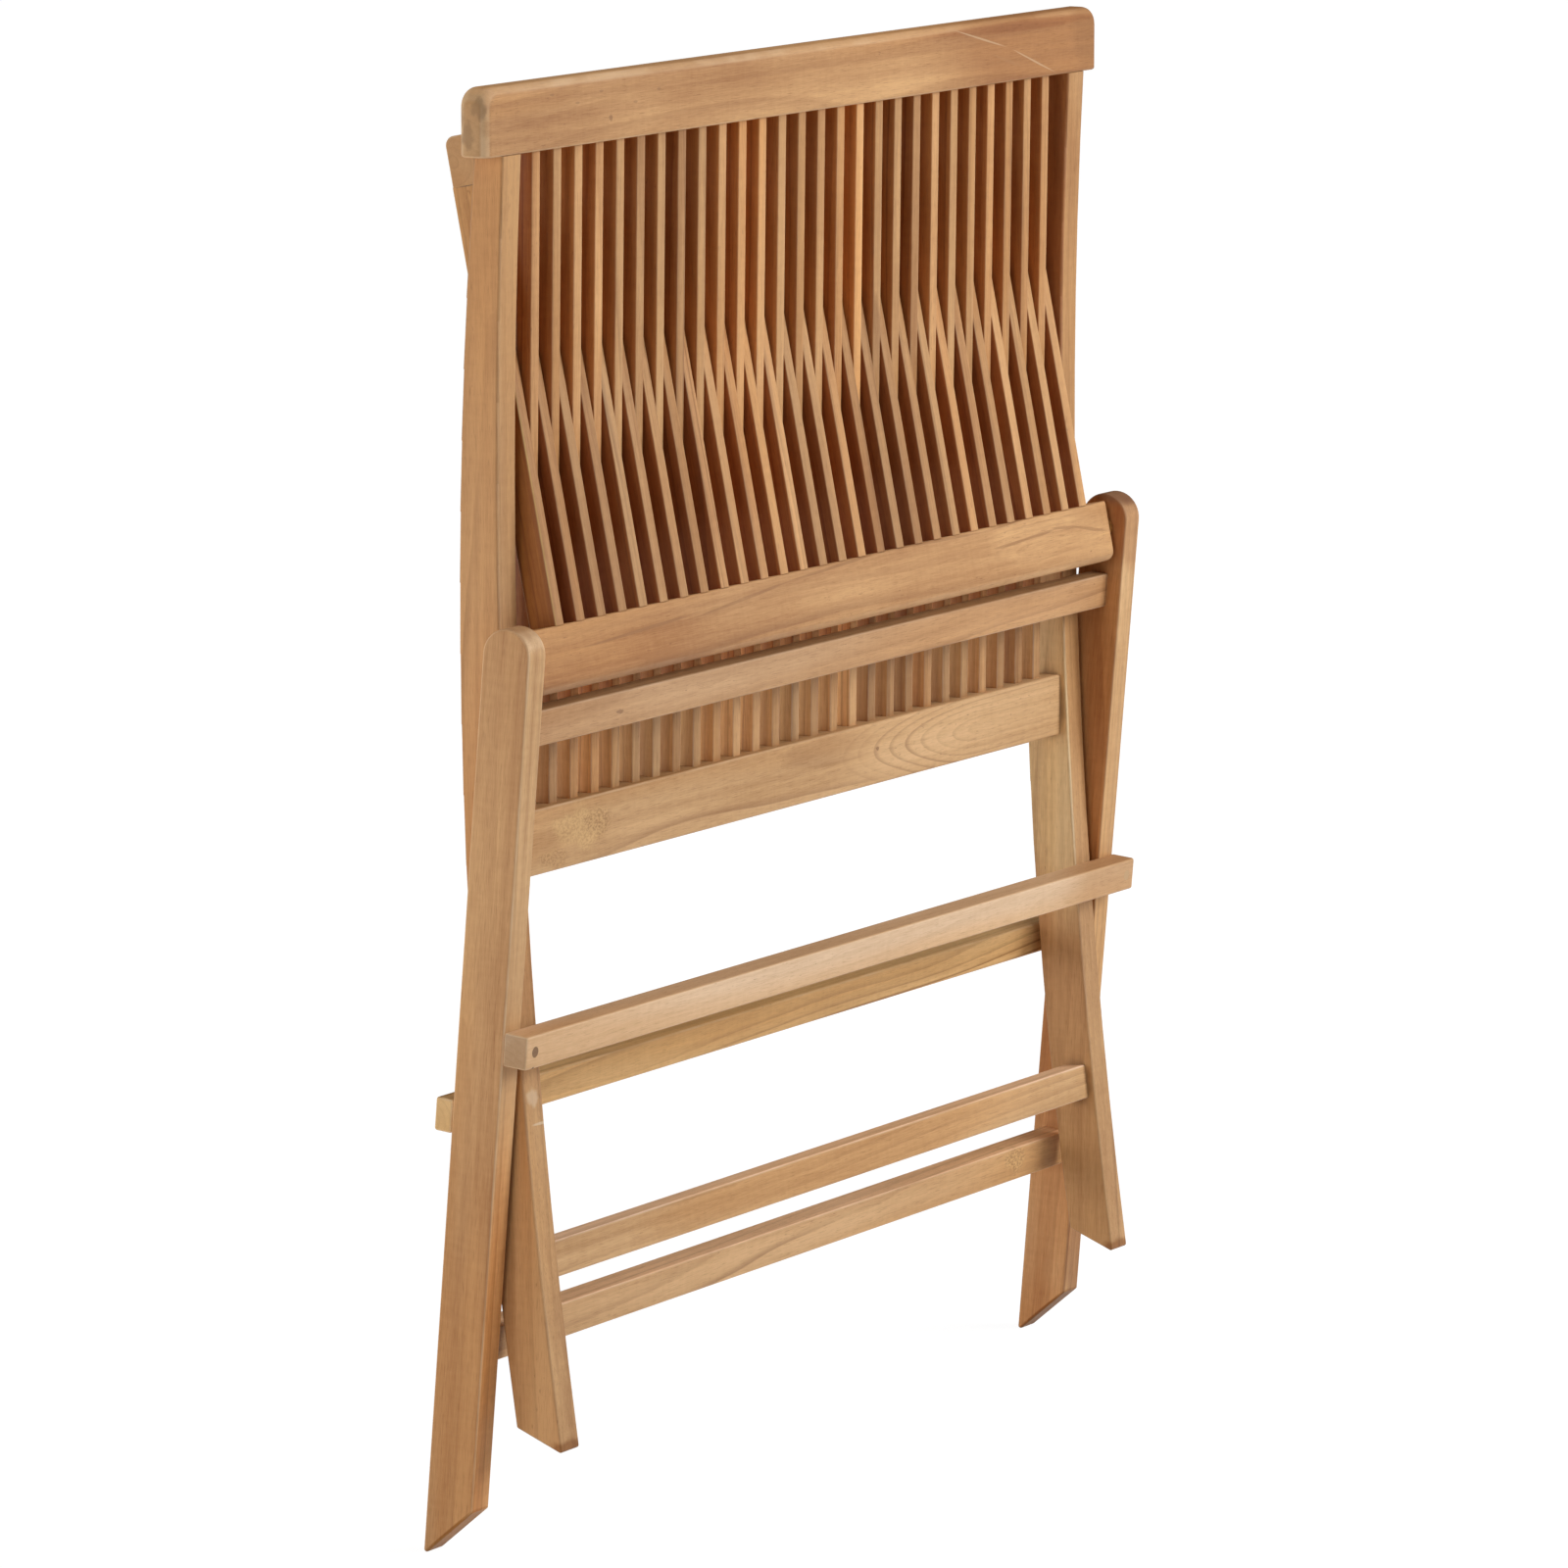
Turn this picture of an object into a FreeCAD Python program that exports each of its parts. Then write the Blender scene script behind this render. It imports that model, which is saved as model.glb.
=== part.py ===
import FreeCAD, Part
import math
import os
import Sketcher

# Folding slatted teak love seat, stored folded and upright.
# X runs across the seat, -Y is the front, +Z runs up the back.

doc = FreeCAD.newDocument("folding_love_seat")
sheet = doc.addObject("Spreadsheet::Sheet", "sizes")
V = FreeCAD.Vector

# Named sizes in millimetres and degrees.
# Heights and offsets of the back frame are measured from the leg pivot.
SIZES = [
    ("pivot_forward", "-7.1", "leg pivot in Y, so that the folded seat is centred"),
    ("pivot_height", "349.01", "leg pivot above the tips of the rear feet"),
    ("leg_tilt", "4.77", "lean of the rear legs when folded, tops forward"),
    ("seat_tilt", "11.6", "lean of the seat when folded, rear edge back"),
    ("slat_tilt", "0.71", "lean of the back slats, tops forward"),
    ("slat_pitch", "27.5", "spacing of the back slats and of the seat slats"),
    ("back_slat_count", "27", "slats in the back"),
    ("back_slat_thick", "10.5", "across the back"),
    ("back_slat_deep", "13", "front to rear"),
    ("back_slat_offset", "14.2", "centre of the slats behind the pivot"),
    ("seat_slat_thick", "11", "across the seat"),
    ("seat_deep", "23", "thickness of the seat from top to underside"),
    ("seat_tongue_thick", "7", "tongue at each end of a seat slat, across"),
    ("seat_tongue_deep", "16", "tongue at each end of a seat slat"),
    ("seat_side_gap", "7.25", "seat side to the inner face of the stile"),
    ("stile_thick", "24", "across"),
    ("leg_thick", "22", "across"),
    ("leg_deep", "39.4", "front to rear"),
    ("leg_gap", "4", "between stile and rear leg"),
    ("leg_axis_back", "2.4", "middle of the rear leg behind its pivot"),
    ("back_height", "654.6", "underside of the top rail above the pivot"),
    ("stile_top_front", "-5.5", "front edge at the top"),
    ("stile_top_deep", "24.6", "depth under the top rail"),
    ("stile_foot_front", "-51", "front tip of the foot"),
    ("stile_foot_deep", "39", "depth at the foot"),
    ("stile_foot_drop", "270.4", "front tip below the pivot"),
    ("stile_foot_angle", "21.1", "slope of the foot, flat on the floor when open"),
    ("stile_front_radius", "4600", "sweep of the front edge"),
    ("stile_rear_radius", "3730", "sweep of the rear edge"),
    ("top_rail_high", "48.9", "height"),
    ("top_rail_overhang", "21", "past the outer face of the stile"),
    ("top_rail_corner", "14", "upper corners of the ends seen from the front"),
    ("top_rail_round", "8", "round-over of the top and the ends"),
    ("lower_rail_top", "184.9", "upper edge above the pivot"),
    ("lower_rail_high", "47.6", "height"),
    ("lower_rail_deep", "22", "front to rear"),
    ("lower_rail_middle", "10.2", "centre behind the pivot"),
    ("front_stretcher_middle", "-16.3", "centre in Y from the pivot"),
    ("front_stretcher_drop", "137.2", "centre below the pivot"),
    ("front_stretcher_lean", "7.4", "lean along the front leg"),
    ("stretcher_high", "26.5", "height of all stretchers"),
    ("stretcher_deep", "21", "depth of the two low stretchers"),
    ("leg_top", "326.5", "rounded top above the pivot"),
    ("leg_foot", "334.85", "middle of the foot below the pivot"),
    ("leg_foot_angle", "45.3", "slope of the foot, flat on the floor when open"),
    ("upper_stretcher_deep", "16", "front to rear"),
    ("upper_stretcher_middle", "0.5", "centre behind the leg axis"),
    ("upper_stretcher_up", "251.2", "centre above the pivot"),
    ("rear_stretcher_drop", "197.2", "centre below the pivot"),
    ("front_bar_deep", "20", "front to rear"),
    ("front_bar_up", "26.8", "centre above the pivot"),
    ("rear_bar_deep", "14.5", "front to rear"),
    ("rear_bar_drop", "30", "centre below the pivot"),
    ("stop_bar_high", "24.6", "height of both stop bars"),
    ("seat_pivot_up", "300.5", "seat pivot above the leg pivot"),
    ("seat_pivot_deep", "9.5", "seat pivot below the seat's top"),
    ("seat_front_reach", "26.4", "front edge of the seat past its pivot"),
    ("seat_front_rail_wide", "46.4", "front to rear when open"),
    ("seat_slat_clear", "316.6", "visible length of a seat slat"),
    ("seat_rear_rail_wide", "36", "front to rear when open"),
    ("seat_rail_gap", "2", "end of the front rail to the rear leg"),
    ("seat_round", "7", "round-over of the seat's front and rear edges"),
    ("seat_corner_round", "8", "front corners of the seat seen from above"),
    ("edge_round", "2", "eased edges of the frame pieces"),
    ("slat_round", "1.2", "eased edges of the slats"),
    ("housing_deep", "8", "slat ends let into the rails"),
    ("housing_gap", "0.1", "side clearance of a slat in its housing"),
    ("end_gap", "0.3", "clearance at the bottom of a blind hole or housing"),
    ("running_gap", "0.05", "radial clearance of pins and dowels"),
    ("leg_pin_radius", "4.95", "steel pin between stile and rear leg"),
    ("leg_pin_depth", "14", "into each of the two pieces"),
    ("seat_pin_radius", "3.95", "steel pin between seat rail and rear leg"),
    ("seat_pin_leg_depth", "13", "into the rear leg"),
    ("seat_pin_rail_depth", "40", "into the end of the seat rail"),
    ("leg_washer_radius", "12", "washer between stile and rear leg"),
    ("leg_washer_thick", "3.2", "less than the gap it fills"),
    ("seat_washer_radius", "8.5", "washer between seat rail and rear leg"),
    ("seat_washer_thick", "1.4", "less than the gap it fills"),
    ("dowel_radius", "3.95", "hidden wood dowel"),
    ("dowel_depth_frame", "15", "dowel length in a stile or leg"),
    ("dowel_depth_rail", "25", "dowel length in a rail or stretcher"),
    ("dowel_spread", "5.5", "dowel from the middle of the top joint"),
    ("rail_dowel_spread", "12", "dowel from the middle of the lower rail"),
    ("plug_radius", "3.95", "wood plug over a screw"),
    ("plug_thick", "5", "wood plug"),
    ("screw_head_radius", "3.6", "screw head under the plug"),
    ("screw_head_thick", "2.4", "screw head"),
    ("screw_radius", "2", "screw shank"),
    ("screw_bite", "22", "screw length in the rear leg"),
]

# Positions that follow from the named sizes.
DERIVED = [
    ("seat_side", "=slat_pitch * back_slat_count / 2 + seat_slat_thick / 2"),
    ("stile_inner", "=seat_side + seat_side_gap"),
    ("stile_middle", "=stile_inner + stile_thick / 2"),
    ("stile_outer", "=stile_inner + stile_thick"),
    ("leg_inner", "=stile_outer + leg_gap"),
    ("leg_middle", "=leg_inner + leg_thick / 2"),
    ("leg_outer", "=leg_inner + leg_thick"),
    ("top_rail_half", "=stile_outer + top_rail_overhang"),
    ("seat_rail_half", "=leg_inner - seat_rail_gap"),
    ("seat_middle", "=seat_deep / 2 - seat_pivot_deep"),
    ("seat_slat_start", "=seat_front_rail_wide - seat_front_reach"),
    ("seat_slat_end", "=seat_slat_start + seat_slat_clear"),
    ("leg_axis_y", "=pivot_forward + leg_axis_back * cos(leg_tilt * 1 deg)"),
    ("leg_axis_z", "=pivot_height + leg_axis_back * sin(leg_tilt * 1 deg)"),
    ("seat_pivot_y", "=leg_axis_y - seat_pivot_up * sin(leg_tilt * 1 deg)"),
    ("seat_pivot_z", "=leg_axis_z + seat_pivot_up * cos(leg_tilt * 1 deg)"),
    ("top_rail_middle", "=stile_top_front + stile_top_deep / 2"),
]

for row, (alias, content, note) in enumerate(SIZES, 1):
    sheet.set("A%d" % row, alias)
    sheet.set("B%d" % row, content)
    sheet.set("C%d" % row, note)
    sheet.setAlias("B%d" % row, alias)
for row, (alias, content) in enumerate(DERIVED, len(SIZES) + 1):
    sheet.set("A%d" % row, alias)
    sheet.setAlias("B%d" % row, alias)
    sheet.set("B%d" % row, content)
doc.recompute()


def number(expression):
    """Present value of an expression that uses the named sizes."""
    result = sheet.evalExpression(expression)
    return float(getattr(result, "Value", result))


def named(expression):
    """The same expression as other objects have to write it."""
    for alias in sorted(ALIASES, key=len, reverse=True):
        expression = expression.replace("@" + alias, "sizes." + alias)
    return expression


ALIASES = [entry[0] for entry in SIZES] + [entry[0] for entry in DERIVED]


def amount(expression):
    return number(expression.replace("@", ""))


def bind(target, prop, expression):
    target.setExpression(prop, named(expression))


# Frames: the pieces of each moving body share one placement.
FRAMES = {
    "back": ("@pivot_forward", "@pivot_height", "0"),
    "slats": ("@pivot_forward", "@pivot_height", "@slat_tilt"),
    "front_stretcher": ("@pivot_forward + @front_stretcher_middle",
                        "@pivot_height - @front_stretcher_drop", "-@front_stretcher_lean"),
    "legs": ("@leg_axis_y", "@leg_axis_z", "@leg_tilt"),
    "seat": ("@seat_pivot_y", "@seat_pivot_z", "-@seat_tilt"),
}


def new_body(label, frame):
    body = doc.addObject("PartDesign::Body", label)
    body.Label = label
    y, z, angle = FRAMES[frame]
    turn = FreeCAD.Rotation(V(1, 0, 0), amount(angle))
    body.Placement = FreeCAD.Placement(V(0, amount(y), amount(z)), turn)
    bind(body, "Placement.Base.y", y)
    bind(body, "Placement.Base.z", z)
    if angle != "0":
        bind(body, "Placement.Rotation.Angle", angle)
    return body


def new_sketch(body, role, offset="0"):
    sketch = body.newObject("Sketcher::SketchObject", body.Name + "_sketch")
    plane = [item for item in body.Origin.OriginFeatures if item.Role == role][0]
    sketch.AttachmentSupport = [(plane, "")]
    sketch.MapMode = "FlatFace"
    if offset != "0":
        bind(sketch, "AttachmentOffset.Base.z", offset)
    return sketch


def hold(sketch, kind, expression, *where):
    """Add one driving dimension and bind it to its expression."""
    index = sketch.addConstraint(Sketcher.Constraint(kind, *where, amount(expression)))
    bind(sketch, "Constraints[%d]" % index, expression)


def locate(sketch, geometry, point, across, up):
    for kind, expression, axis in (("DistanceX", across, -2), ("DistanceY", up, -1)):
        if abs(amount(expression)) < 1e-9:
            sketch.addConstraint(Sketcher.Constraint("PointOnObject", geometry, point, axis))
        else:
            hold(sketch, kind, expression, -1, 1, geometry, point)


def join(sketch, *pairs):
    for first, first_point, second, second_point in pairs:
        sketch.addConstraint(
            Sketcher.Constraint("Coincident", first, first_point, second, second_point))


def add_rectangle(sketch, across, up, wide, high):
    x, y, w, h = [amount(item) for item in (across, up, wide, high)]
    corners = [V(x - w / 2, y - h / 2), V(x + w / 2, y - h / 2),
               V(x + w / 2, y + h / 2), V(x - w / 2, y + h / 2)]
    first = sketch.GeometryCount
    for index in range(4):
        sketch.addGeometry(Part.LineSegment(corners[index], corners[(index + 1) % 4]), False)
    middle = sketch.addGeometry(Part.Point(V(x, y)), True)
    join(sketch, *[(first + i, 2, first + (i + 1) % 4, 1) for i in range(4)])
    for index, kind in enumerate(("Horizontal", "Vertical", "Horizontal", "Vertical")):
        sketch.addConstraint(Sketcher.Constraint(kind, first + index))
    sketch.addConstraint(Sketcher.Constraint("Symmetric", first, 1, first + 2, 1, middle, 1))
    hold(sketch, "DistanceX", wide, first, 1, first, 2)
    hold(sketch, "DistanceY", high, first + 1, 1, first + 1, 2)
    locate(sketch, middle, 1, across, up)


def add_circle(sketch, across, up, radius):
    centre = V(amount(across), amount(up))
    circle = sketch.addGeometry(Part.Circle(centre, V(0, 0, 1), amount(radius)), False)
    hold(sketch, "Radius", radius, circle)
    locate(sketch, circle, 3, across, up)


def pad(body, sketch, length, both_ways=False, back=False):
    feature = body.newObject("PartDesign::Pad", body.Name + "_pad")
    feature.Profile = sketch
    bind(feature, "Length", length)
    feature.SideType = "Symmetric" if both_ways else "One side"
    feature.Reversed = back
    doc.recompute()
    return feature


def pocket(body, sketch, depth, back=False):
    feature = body.newObject("PartDesign::Pocket", body.Name + "_pocket")
    feature.Profile = sketch
    bind(feature, "Length", depth)
    feature.Reversed = back
    doc.recompute()
    return feature


def ease(body, radius, chosen=None):
    """Round every edge of the tip, or only the chosen ones."""
    tip = body.Tip
    names = []
    if chosen:
        names = ["Edge%d" % i for i, edge in enumerate(tip.Shape.Edges, 1) if chosen(edge)]
    feature = body.newObject("PartDesign::Fillet", body.Name + "_fillet")
    feature.Base = (tip, names)
    feature.UseAllEdges = not names
    bind(feature, "Radius", radius)
    doc.recompute()
    return feature


def repeat_across(body, feature, length, count):
    """Repeat one feature along X."""
    axis = [item for item in body.Origin.OriginFeatures if item.Role == "X_Axis"][0]
    pattern = body.newObject("PartDesign::LinearPattern", body.Name + "_pattern")
    pattern.Originals = [feature]
    pattern.Direction = (axis, [""])
    bind(pattern, "Length", length)
    bind(pattern, "Occurrences", count)
    body.Tip = pattern
    doc.recompute()
    return pattern


def along(axis):
    """Choose straight edges that run along one local axis."""
    return lambda edge: (abs(edge.tangentAt(edge.FirstParameter).dot(axis)) > 0.999
                         and isinstance(edge.Curve, Part.Line))


def board(label, frame, across, up, deep, high, half_length):
    """A straight board across the seat, with eased edges."""
    body = new_body(label, frame)
    section = new_sketch(body, "YZ_Plane")
    add_rectangle(section, across, up, deep, high)
    pad(body, section, "2 * (%s)" % half_length, both_ways=True)
    return body


def end_holes(body, half_length, points, radius, depth):
    """Blind holes in both ends of a board."""
    for side in (1, -1):
        sketch = new_sketch(body, "YZ_Plane", "%d * (%s)" % (side, half_length))
        for across, up in points:
            add_circle(sketch, across, up, radius)
        pocket(body, sketch, depth, back=side < 0)


DOWEL_HOLE = "@dowel_radius + @running_gap"
PIN_HOLE = "@leg_pin_radius + @running_gap"
SEAT_PIN_HOLE = "@seat_pin_radius + @running_gap"
LOWER_RAIL_MIDDLE = "@lower_rail_top - @lower_rail_high / 2"
LOWER_RAIL_DOWELS = [("@lower_rail_middle", LOWER_RAIL_MIDDLE + " + @rail_dowel_spread"),
                     ("@lower_rail_middle", LOWER_RAIL_MIDDLE + " - @rail_dowel_spread")]
FRONT_STRETCHER_DOWEL = ("@front_stretcher_middle", "-@front_stretcher_drop")
UPPER_STRETCHER_DOWEL = ("@upper_stretcher_middle", "@upper_stretcher_up")
REAR_STRETCHER_DOWEL = ("0", "-@rear_stretcher_drop")
TOP_DOWEL_OFFSETS = ("@top_rail_middle - @dowel_spread", "@top_rail_middle + @dowel_spread")


# Stiles: back posts that run down to the front feet, cut to a long sweep.
def sweep(lower, upper, radius):
    """Arc from the lower to the upper point that bulges to the rear."""
    middle = (lower + upper) * 0.5
    chord = upper - lower
    forward = V(-chord.y, chord.x).normalize()
    reach = math.sqrt(radius ** 2 - (chord.Length / 2) ** 2)
    centre = middle + forward * reach
    start = math.atan2(lower.y - centre.y, lower.x - centre.x)
    end = math.atan2(upper.y - centre.y, upper.x - centre.x)
    return Part.ArcOfCircle(Part.Circle(centre, V(0, 0, 1), radius), start, end)


def stile(label, side):
    body = new_body(label, "back")
    profile = new_sketch(body, "YZ_Plane", "%d * @stile_middle" % side)
    rise = "@stile_foot_deep * tan(@stile_foot_angle * 1 deg)"
    ends = {
        "foot_front": ("@stile_foot_front", "-@stile_foot_drop"),
        "foot_rear": ("@stile_foot_front + @stile_foot_deep", "%s - @stile_foot_drop" % rise),
        "top_front": ("@stile_top_front", "@back_height"),
        "top_rear": ("@stile_top_front + @stile_top_deep", "@back_height"),
    }
    at = {name: V(amount(x), amount(y)) for name, (x, y) in ends.items()}
    front = profile.addGeometry(
        sweep(at["foot_front"], at["top_front"], amount("@stile_front_radius")), False)
    rear = profile.addGeometry(
        sweep(at["foot_rear"], at["top_rear"], amount("@stile_rear_radius")), False)
    top = profile.addGeometry(Part.LineSegment(at["top_front"], at["top_rear"]), False)
    foot = profile.addGeometry(Part.LineSegment(at["foot_front"], at["foot_rear"]), False)
    join(profile, (front, 2, top, 1), (rear, 2, top, 2), (front, 1, foot, 1), (rear, 1, foot, 2))
    for geometry, point, name in ((top, 1, "top_front"), (top, 2, "top_rear"),
                                  (foot, 1, "foot_front"), (foot, 2, "foot_rear")):
        locate(profile, geometry, point, *ends[name])
    hold(profile, "Radius", "@stile_front_radius", front)
    hold(profile, "Radius", "@stile_rear_radius", rear)
    pad(body, profile, "@stile_thick", both_ways=True)
    under_rail = amount("@back_height") - 1
    ease(body, "@edge_round", lambda edge: edge.BoundBox.ZMin < under_rail)
    outside = new_sketch(body, "YZ_Plane", "%d * @stile_outer" % side)
    add_circle(outside, "0", "0", PIN_HOLE)
    pocket(body, outside, "@leg_pin_depth + @end_gap", back=side < 0)
    inside = new_sketch(body, "YZ_Plane", "%d * @stile_inner" % side)
    for across, up in LOWER_RAIL_DOWELS + [FRONT_STRETCHER_DOWEL]:
        add_circle(inside, across, up, DOWEL_HOLE)
    pocket(body, inside, "@dowel_depth_frame + @end_gap", back=side > 0)
    top_end = new_sketch(body, "XY_Plane", "@back_height")
    for offset in TOP_DOWEL_OFFSETS:
        add_circle(top_end, "%d * @stile_middle" % side, offset, DOWEL_HOLE)
    pocket(body, top_end, "@dowel_depth_rail + @end_gap")
    return body


stile_left = stile("stile_left", -1)
stile_right = stile("stile_right", 1)


# Top rail: caps the stiles, heavily rounded, with a row of slat housings below.
def slat_housings(body, plane_offset, across, wide, deep, count, upward):
    """A row of blind housings for slat ends in one rail."""
    sketch = new_sketch(body, "XY_Plane", plane_offset)
    start = "-@slat_pitch * (%s - 1) / 2" % count
    gap = " + 2 * @housing_gap"
    add_rectangle(sketch, start, across, wide + gap, deep + gap)
    first = pocket(body, sketch, "@housing_deep + @end_gap", back=upward)
    repeat_across(body, first, "@slat_pitch * (%s - 1)" % count, count)


def slat_line(height):
    """Middle of the leaning back slats at a height above the pivot."""
    return "@back_slat_offset / cos(@slat_tilt * 1 deg) - (%s) * tan(@slat_tilt * 1 deg)" % height


top_rail = board("top_rail", "back", "@top_rail_middle", "@back_height + @top_rail_high / 2",
                 "@stile_top_deep", "@top_rail_high", "@top_rail_half")
above_stile = amount("@back_height") + 1
ease(top_rail, "@top_rail_corner",
     lambda edge: edge.BoundBox.YLength > 1 and edge.BoundBox.ZMin > above_stile)
ease(top_rail, "@top_rail_round",
     lambda edge: edge.BoundBox.YLength < 0.1 and edge.BoundBox.ZMax > above_stile)
ease(top_rail, "@edge_round", lambda edge: edge.BoundBox.ZMax < above_stile)
slat_housings(top_rail, "@back_height", slat_line("@back_height + @housing_deep / 2"),
              "@back_slat_thick", "@back_slat_deep", "@back_slat_count", True)
for side in (1, -1):
    joint = new_sketch(top_rail, "XY_Plane", "@back_height")
    for offset in TOP_DOWEL_OFFSETS:
        add_circle(joint, "%d * @stile_middle" % side, offset, DOWEL_HOLE)
    pocket(top_rail, joint, "@dowel_depth_rail + @end_gap", back=True)

# Lower back rail: between the stiles, holds the lower ends of the back slats.
lower_rail = board("lower_back_rail", "back", "@lower_rail_middle", LOWER_RAIL_MIDDLE,
                   "@lower_rail_deep", "@lower_rail_high", "@stile_inner")
ease(lower_rail, "@edge_round", along(V(1, 0, 0)))
slat_housings(lower_rail, "@lower_rail_top", slat_line("@lower_rail_top - @housing_deep / 2"),
              "@back_slat_thick", "@back_slat_deep", "@back_slat_count", False)
end_holes(lower_rail, "@stile_inner", LOWER_RAIL_DOWELS, DOWEL_HOLE,
          "@dowel_depth_rail + @end_gap")

# Front stretcher: between the front legs near the floor.
front_stretcher = board("front_stretcher", "front_stretcher", "0", "0",
                        "@stretcher_deep", "@stretcher_high", "@stile_inner")
ease(front_stretcher, "@edge_round", along(V(1, 0, 0)))
end_holes(front_stretcher, "@stile_inner", [("0", "0")], DOWEL_HOLE,
          "@dowel_depth_rail + @end_gap")


# Slats: thin sticks let into both rails, exported in small neighbouring groups.
def slat_group(label, frame, across, wide, deep, positions, start, length):
    body = new_body(label, frame)
    section = new_sketch(body, "XY_Plane", start)
    for position in positions:
        add_rectangle(section, position, across, wide, deep)
    pad(body, section, length)
    ease(body, "@slat_round", along(V(0, 0, 1)))
    return body


back_slat_count = int(amount("@back_slat_count"))
back_positions = ["@slat_pitch * (%d - (@back_slat_count - 1) / 2)" % index
                  for index in range(back_slat_count)]
back_slat_nodes = []
back_bottom = "@lower_rail_top / cos(@slat_tilt * 1 deg) - @housing_deep"
back_length = "(@back_height - @lower_rail_top) / cos(@slat_tilt * 1 deg) + 2 * @housing_deep"
for start in range(0, back_slat_count, 3):
    back_slat_nodes.append(
        slat_group("back_slats_%02d" % (start // 3 + 1), "slats", "@back_slat_offset",
                   "@back_slat_thick", "@back_slat_deep", back_positions[start:start + 3],
                   back_bottom, back_length))


# Rear legs: outside the stiles, round at the top, cut on the slope at the foot.
def rear_leg(label, side):
    body = new_body(label, "legs")
    profile = new_sketch(body, "YZ_Plane", "%d * @leg_middle" % side)
    half = "@leg_deep / 2"
    shoulder = "@leg_top - @leg_deep / 2"
    slope = "@leg_deep / 2 * tan(@leg_foot_angle * 1 deg)"
    w, h = amount(half), amount(shoulder)
    heel = V(w, -amount("@leg_foot + " + slope))
    toe = V(-w, -amount("@leg_foot - " + slope))
    front = profile.addGeometry(Part.LineSegment(toe, V(-w, h)), False)
    rear = profile.addGeometry(Part.LineSegment(V(w, h), heel), False)
    sole = profile.addGeometry(Part.LineSegment(heel, toe), False)
    crown = profile.addGeometry(
        Part.ArcOfCircle(Part.Circle(V(0, h), V(0, 0, 1), w), 0, math.pi), False)
    join(profile, (front, 2, crown, 2), (rear, 1, crown, 1), (rear, 2, sole, 1), (sole, 2, front, 1))
    locate(profile, front, 2, "-" + half, shoulder)
    locate(profile, rear, 1, half, shoulder)
    locate(profile, sole, 1, half, "-(@leg_foot + %s)" % slope)
    locate(profile, sole, 2, "-" + half, "-(@leg_foot - %s)" % slope)
    hold(profile, "DistanceY", shoulder, -1, 1, crown, 3)
    pad(body, profile, "@leg_thick", both_ways=True)
    ease(body, "@edge_round")
    inside = new_sketch(body, "YZ_Plane", "%d * @leg_inner" % side)
    add_circle(inside, "-@leg_axis_back", "0", PIN_HOLE)
    pocket(body, inside, "@leg_pin_depth + @end_gap", back=side > 0)
    seat_hole = new_sketch(body, "YZ_Plane", "%d * @leg_inner" % side)
    add_circle(seat_hole, "0", "@seat_pivot_up", SEAT_PIN_HOLE)
    pocket(body, seat_hole, "@seat_pin_leg_depth + @end_gap", back=side > 0)
    joints = new_sketch(body, "YZ_Plane", "%d * @leg_inner" % side)
    for across, up in (UPPER_STRETCHER_DOWEL, REAR_STRETCHER_DOWEL):
        add_circle(joints, across, up, DOWEL_HOLE)
    pocket(body, joints, "@dowel_depth_frame + @end_gap", back=side > 0)
    for up, edge, from_rear in (("@front_bar_up", "@leg_deep / 2", False),
                                ("-@rear_bar_drop", "-@leg_deep / 2", True)):
        screw_hole = new_sketch(body, "XZ_Plane", edge)
        add_circle(screw_hole, "%d * @leg_middle" % side, up, "@screw_radius + @running_gap")
        pocket(body, screw_hole, "@screw_bite + @end_gap", back=from_rear)
    return body


rear_leg_left = rear_leg("rear_leg_left", -1)
rear_leg_right = rear_leg("rear_leg_right", 1)

# Stretchers of the rear legs: one under the seat front and one near the floor.
upper_stretcher = board("upper_stretcher", "legs", "@upper_stretcher_middle",
                        "@upper_stretcher_up", "@upper_stretcher_deep", "@stretcher_high",
                        "@leg_inner")
ease(upper_stretcher, "@edge_round", along(V(1, 0, 0)))
end_holes(upper_stretcher, "@leg_inner", [UPPER_STRETCHER_DOWEL], DOWEL_HOLE,
          "@dowel_depth_rail + @end_gap")
rear_stretcher = board("rear_stretcher", "legs", "0", "-@rear_stretcher_drop",
                       "@stretcher_deep", "@stretcher_high", "@leg_inner")
ease(rear_stretcher, "@edge_round", along(V(1, 0, 0)))
end_holes(rear_stretcher, "@leg_inner", [REAR_STRETCHER_DOWEL], DOWEL_HOLE,
          "@dowel_depth_rail + @end_gap")


# Stop bars: screwed across the edges of the rear legs on both sides of the pivot.
def stop_bar(label, deep, up, from_rear):
    sign = 1 if from_rear else -1
    middle = "%d * (@leg_deep + %s) / 2" % (sign, deep)
    outer = "%d * (@leg_deep / 2 + %s)" % (-sign, deep)
    body = board(label, "legs", middle, up, deep, "@stop_bar_high", "@leg_outer")
    ease(body, "@edge_round")
    for radius, depth in (("@plug_radius + @running_gap", "@plug_thick + @screw_head_thick"),
                          ("@screw_radius + @running_gap", deep)):
        holes = new_sketch(body, "XZ_Plane", outer)
        for side in (1, -1):
            add_circle(holes, "%d * @leg_middle" % side, up, radius)
        pocket(body, holes, depth, back=from_rear)
    return body


front_bar = stop_bar("front_stop_bar", "@front_bar_deep", "@front_bar_up", False)
rear_bar = stop_bar("rear_stop_bar", "@rear_bar_deep", "-@rear_bar_drop", True)

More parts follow.
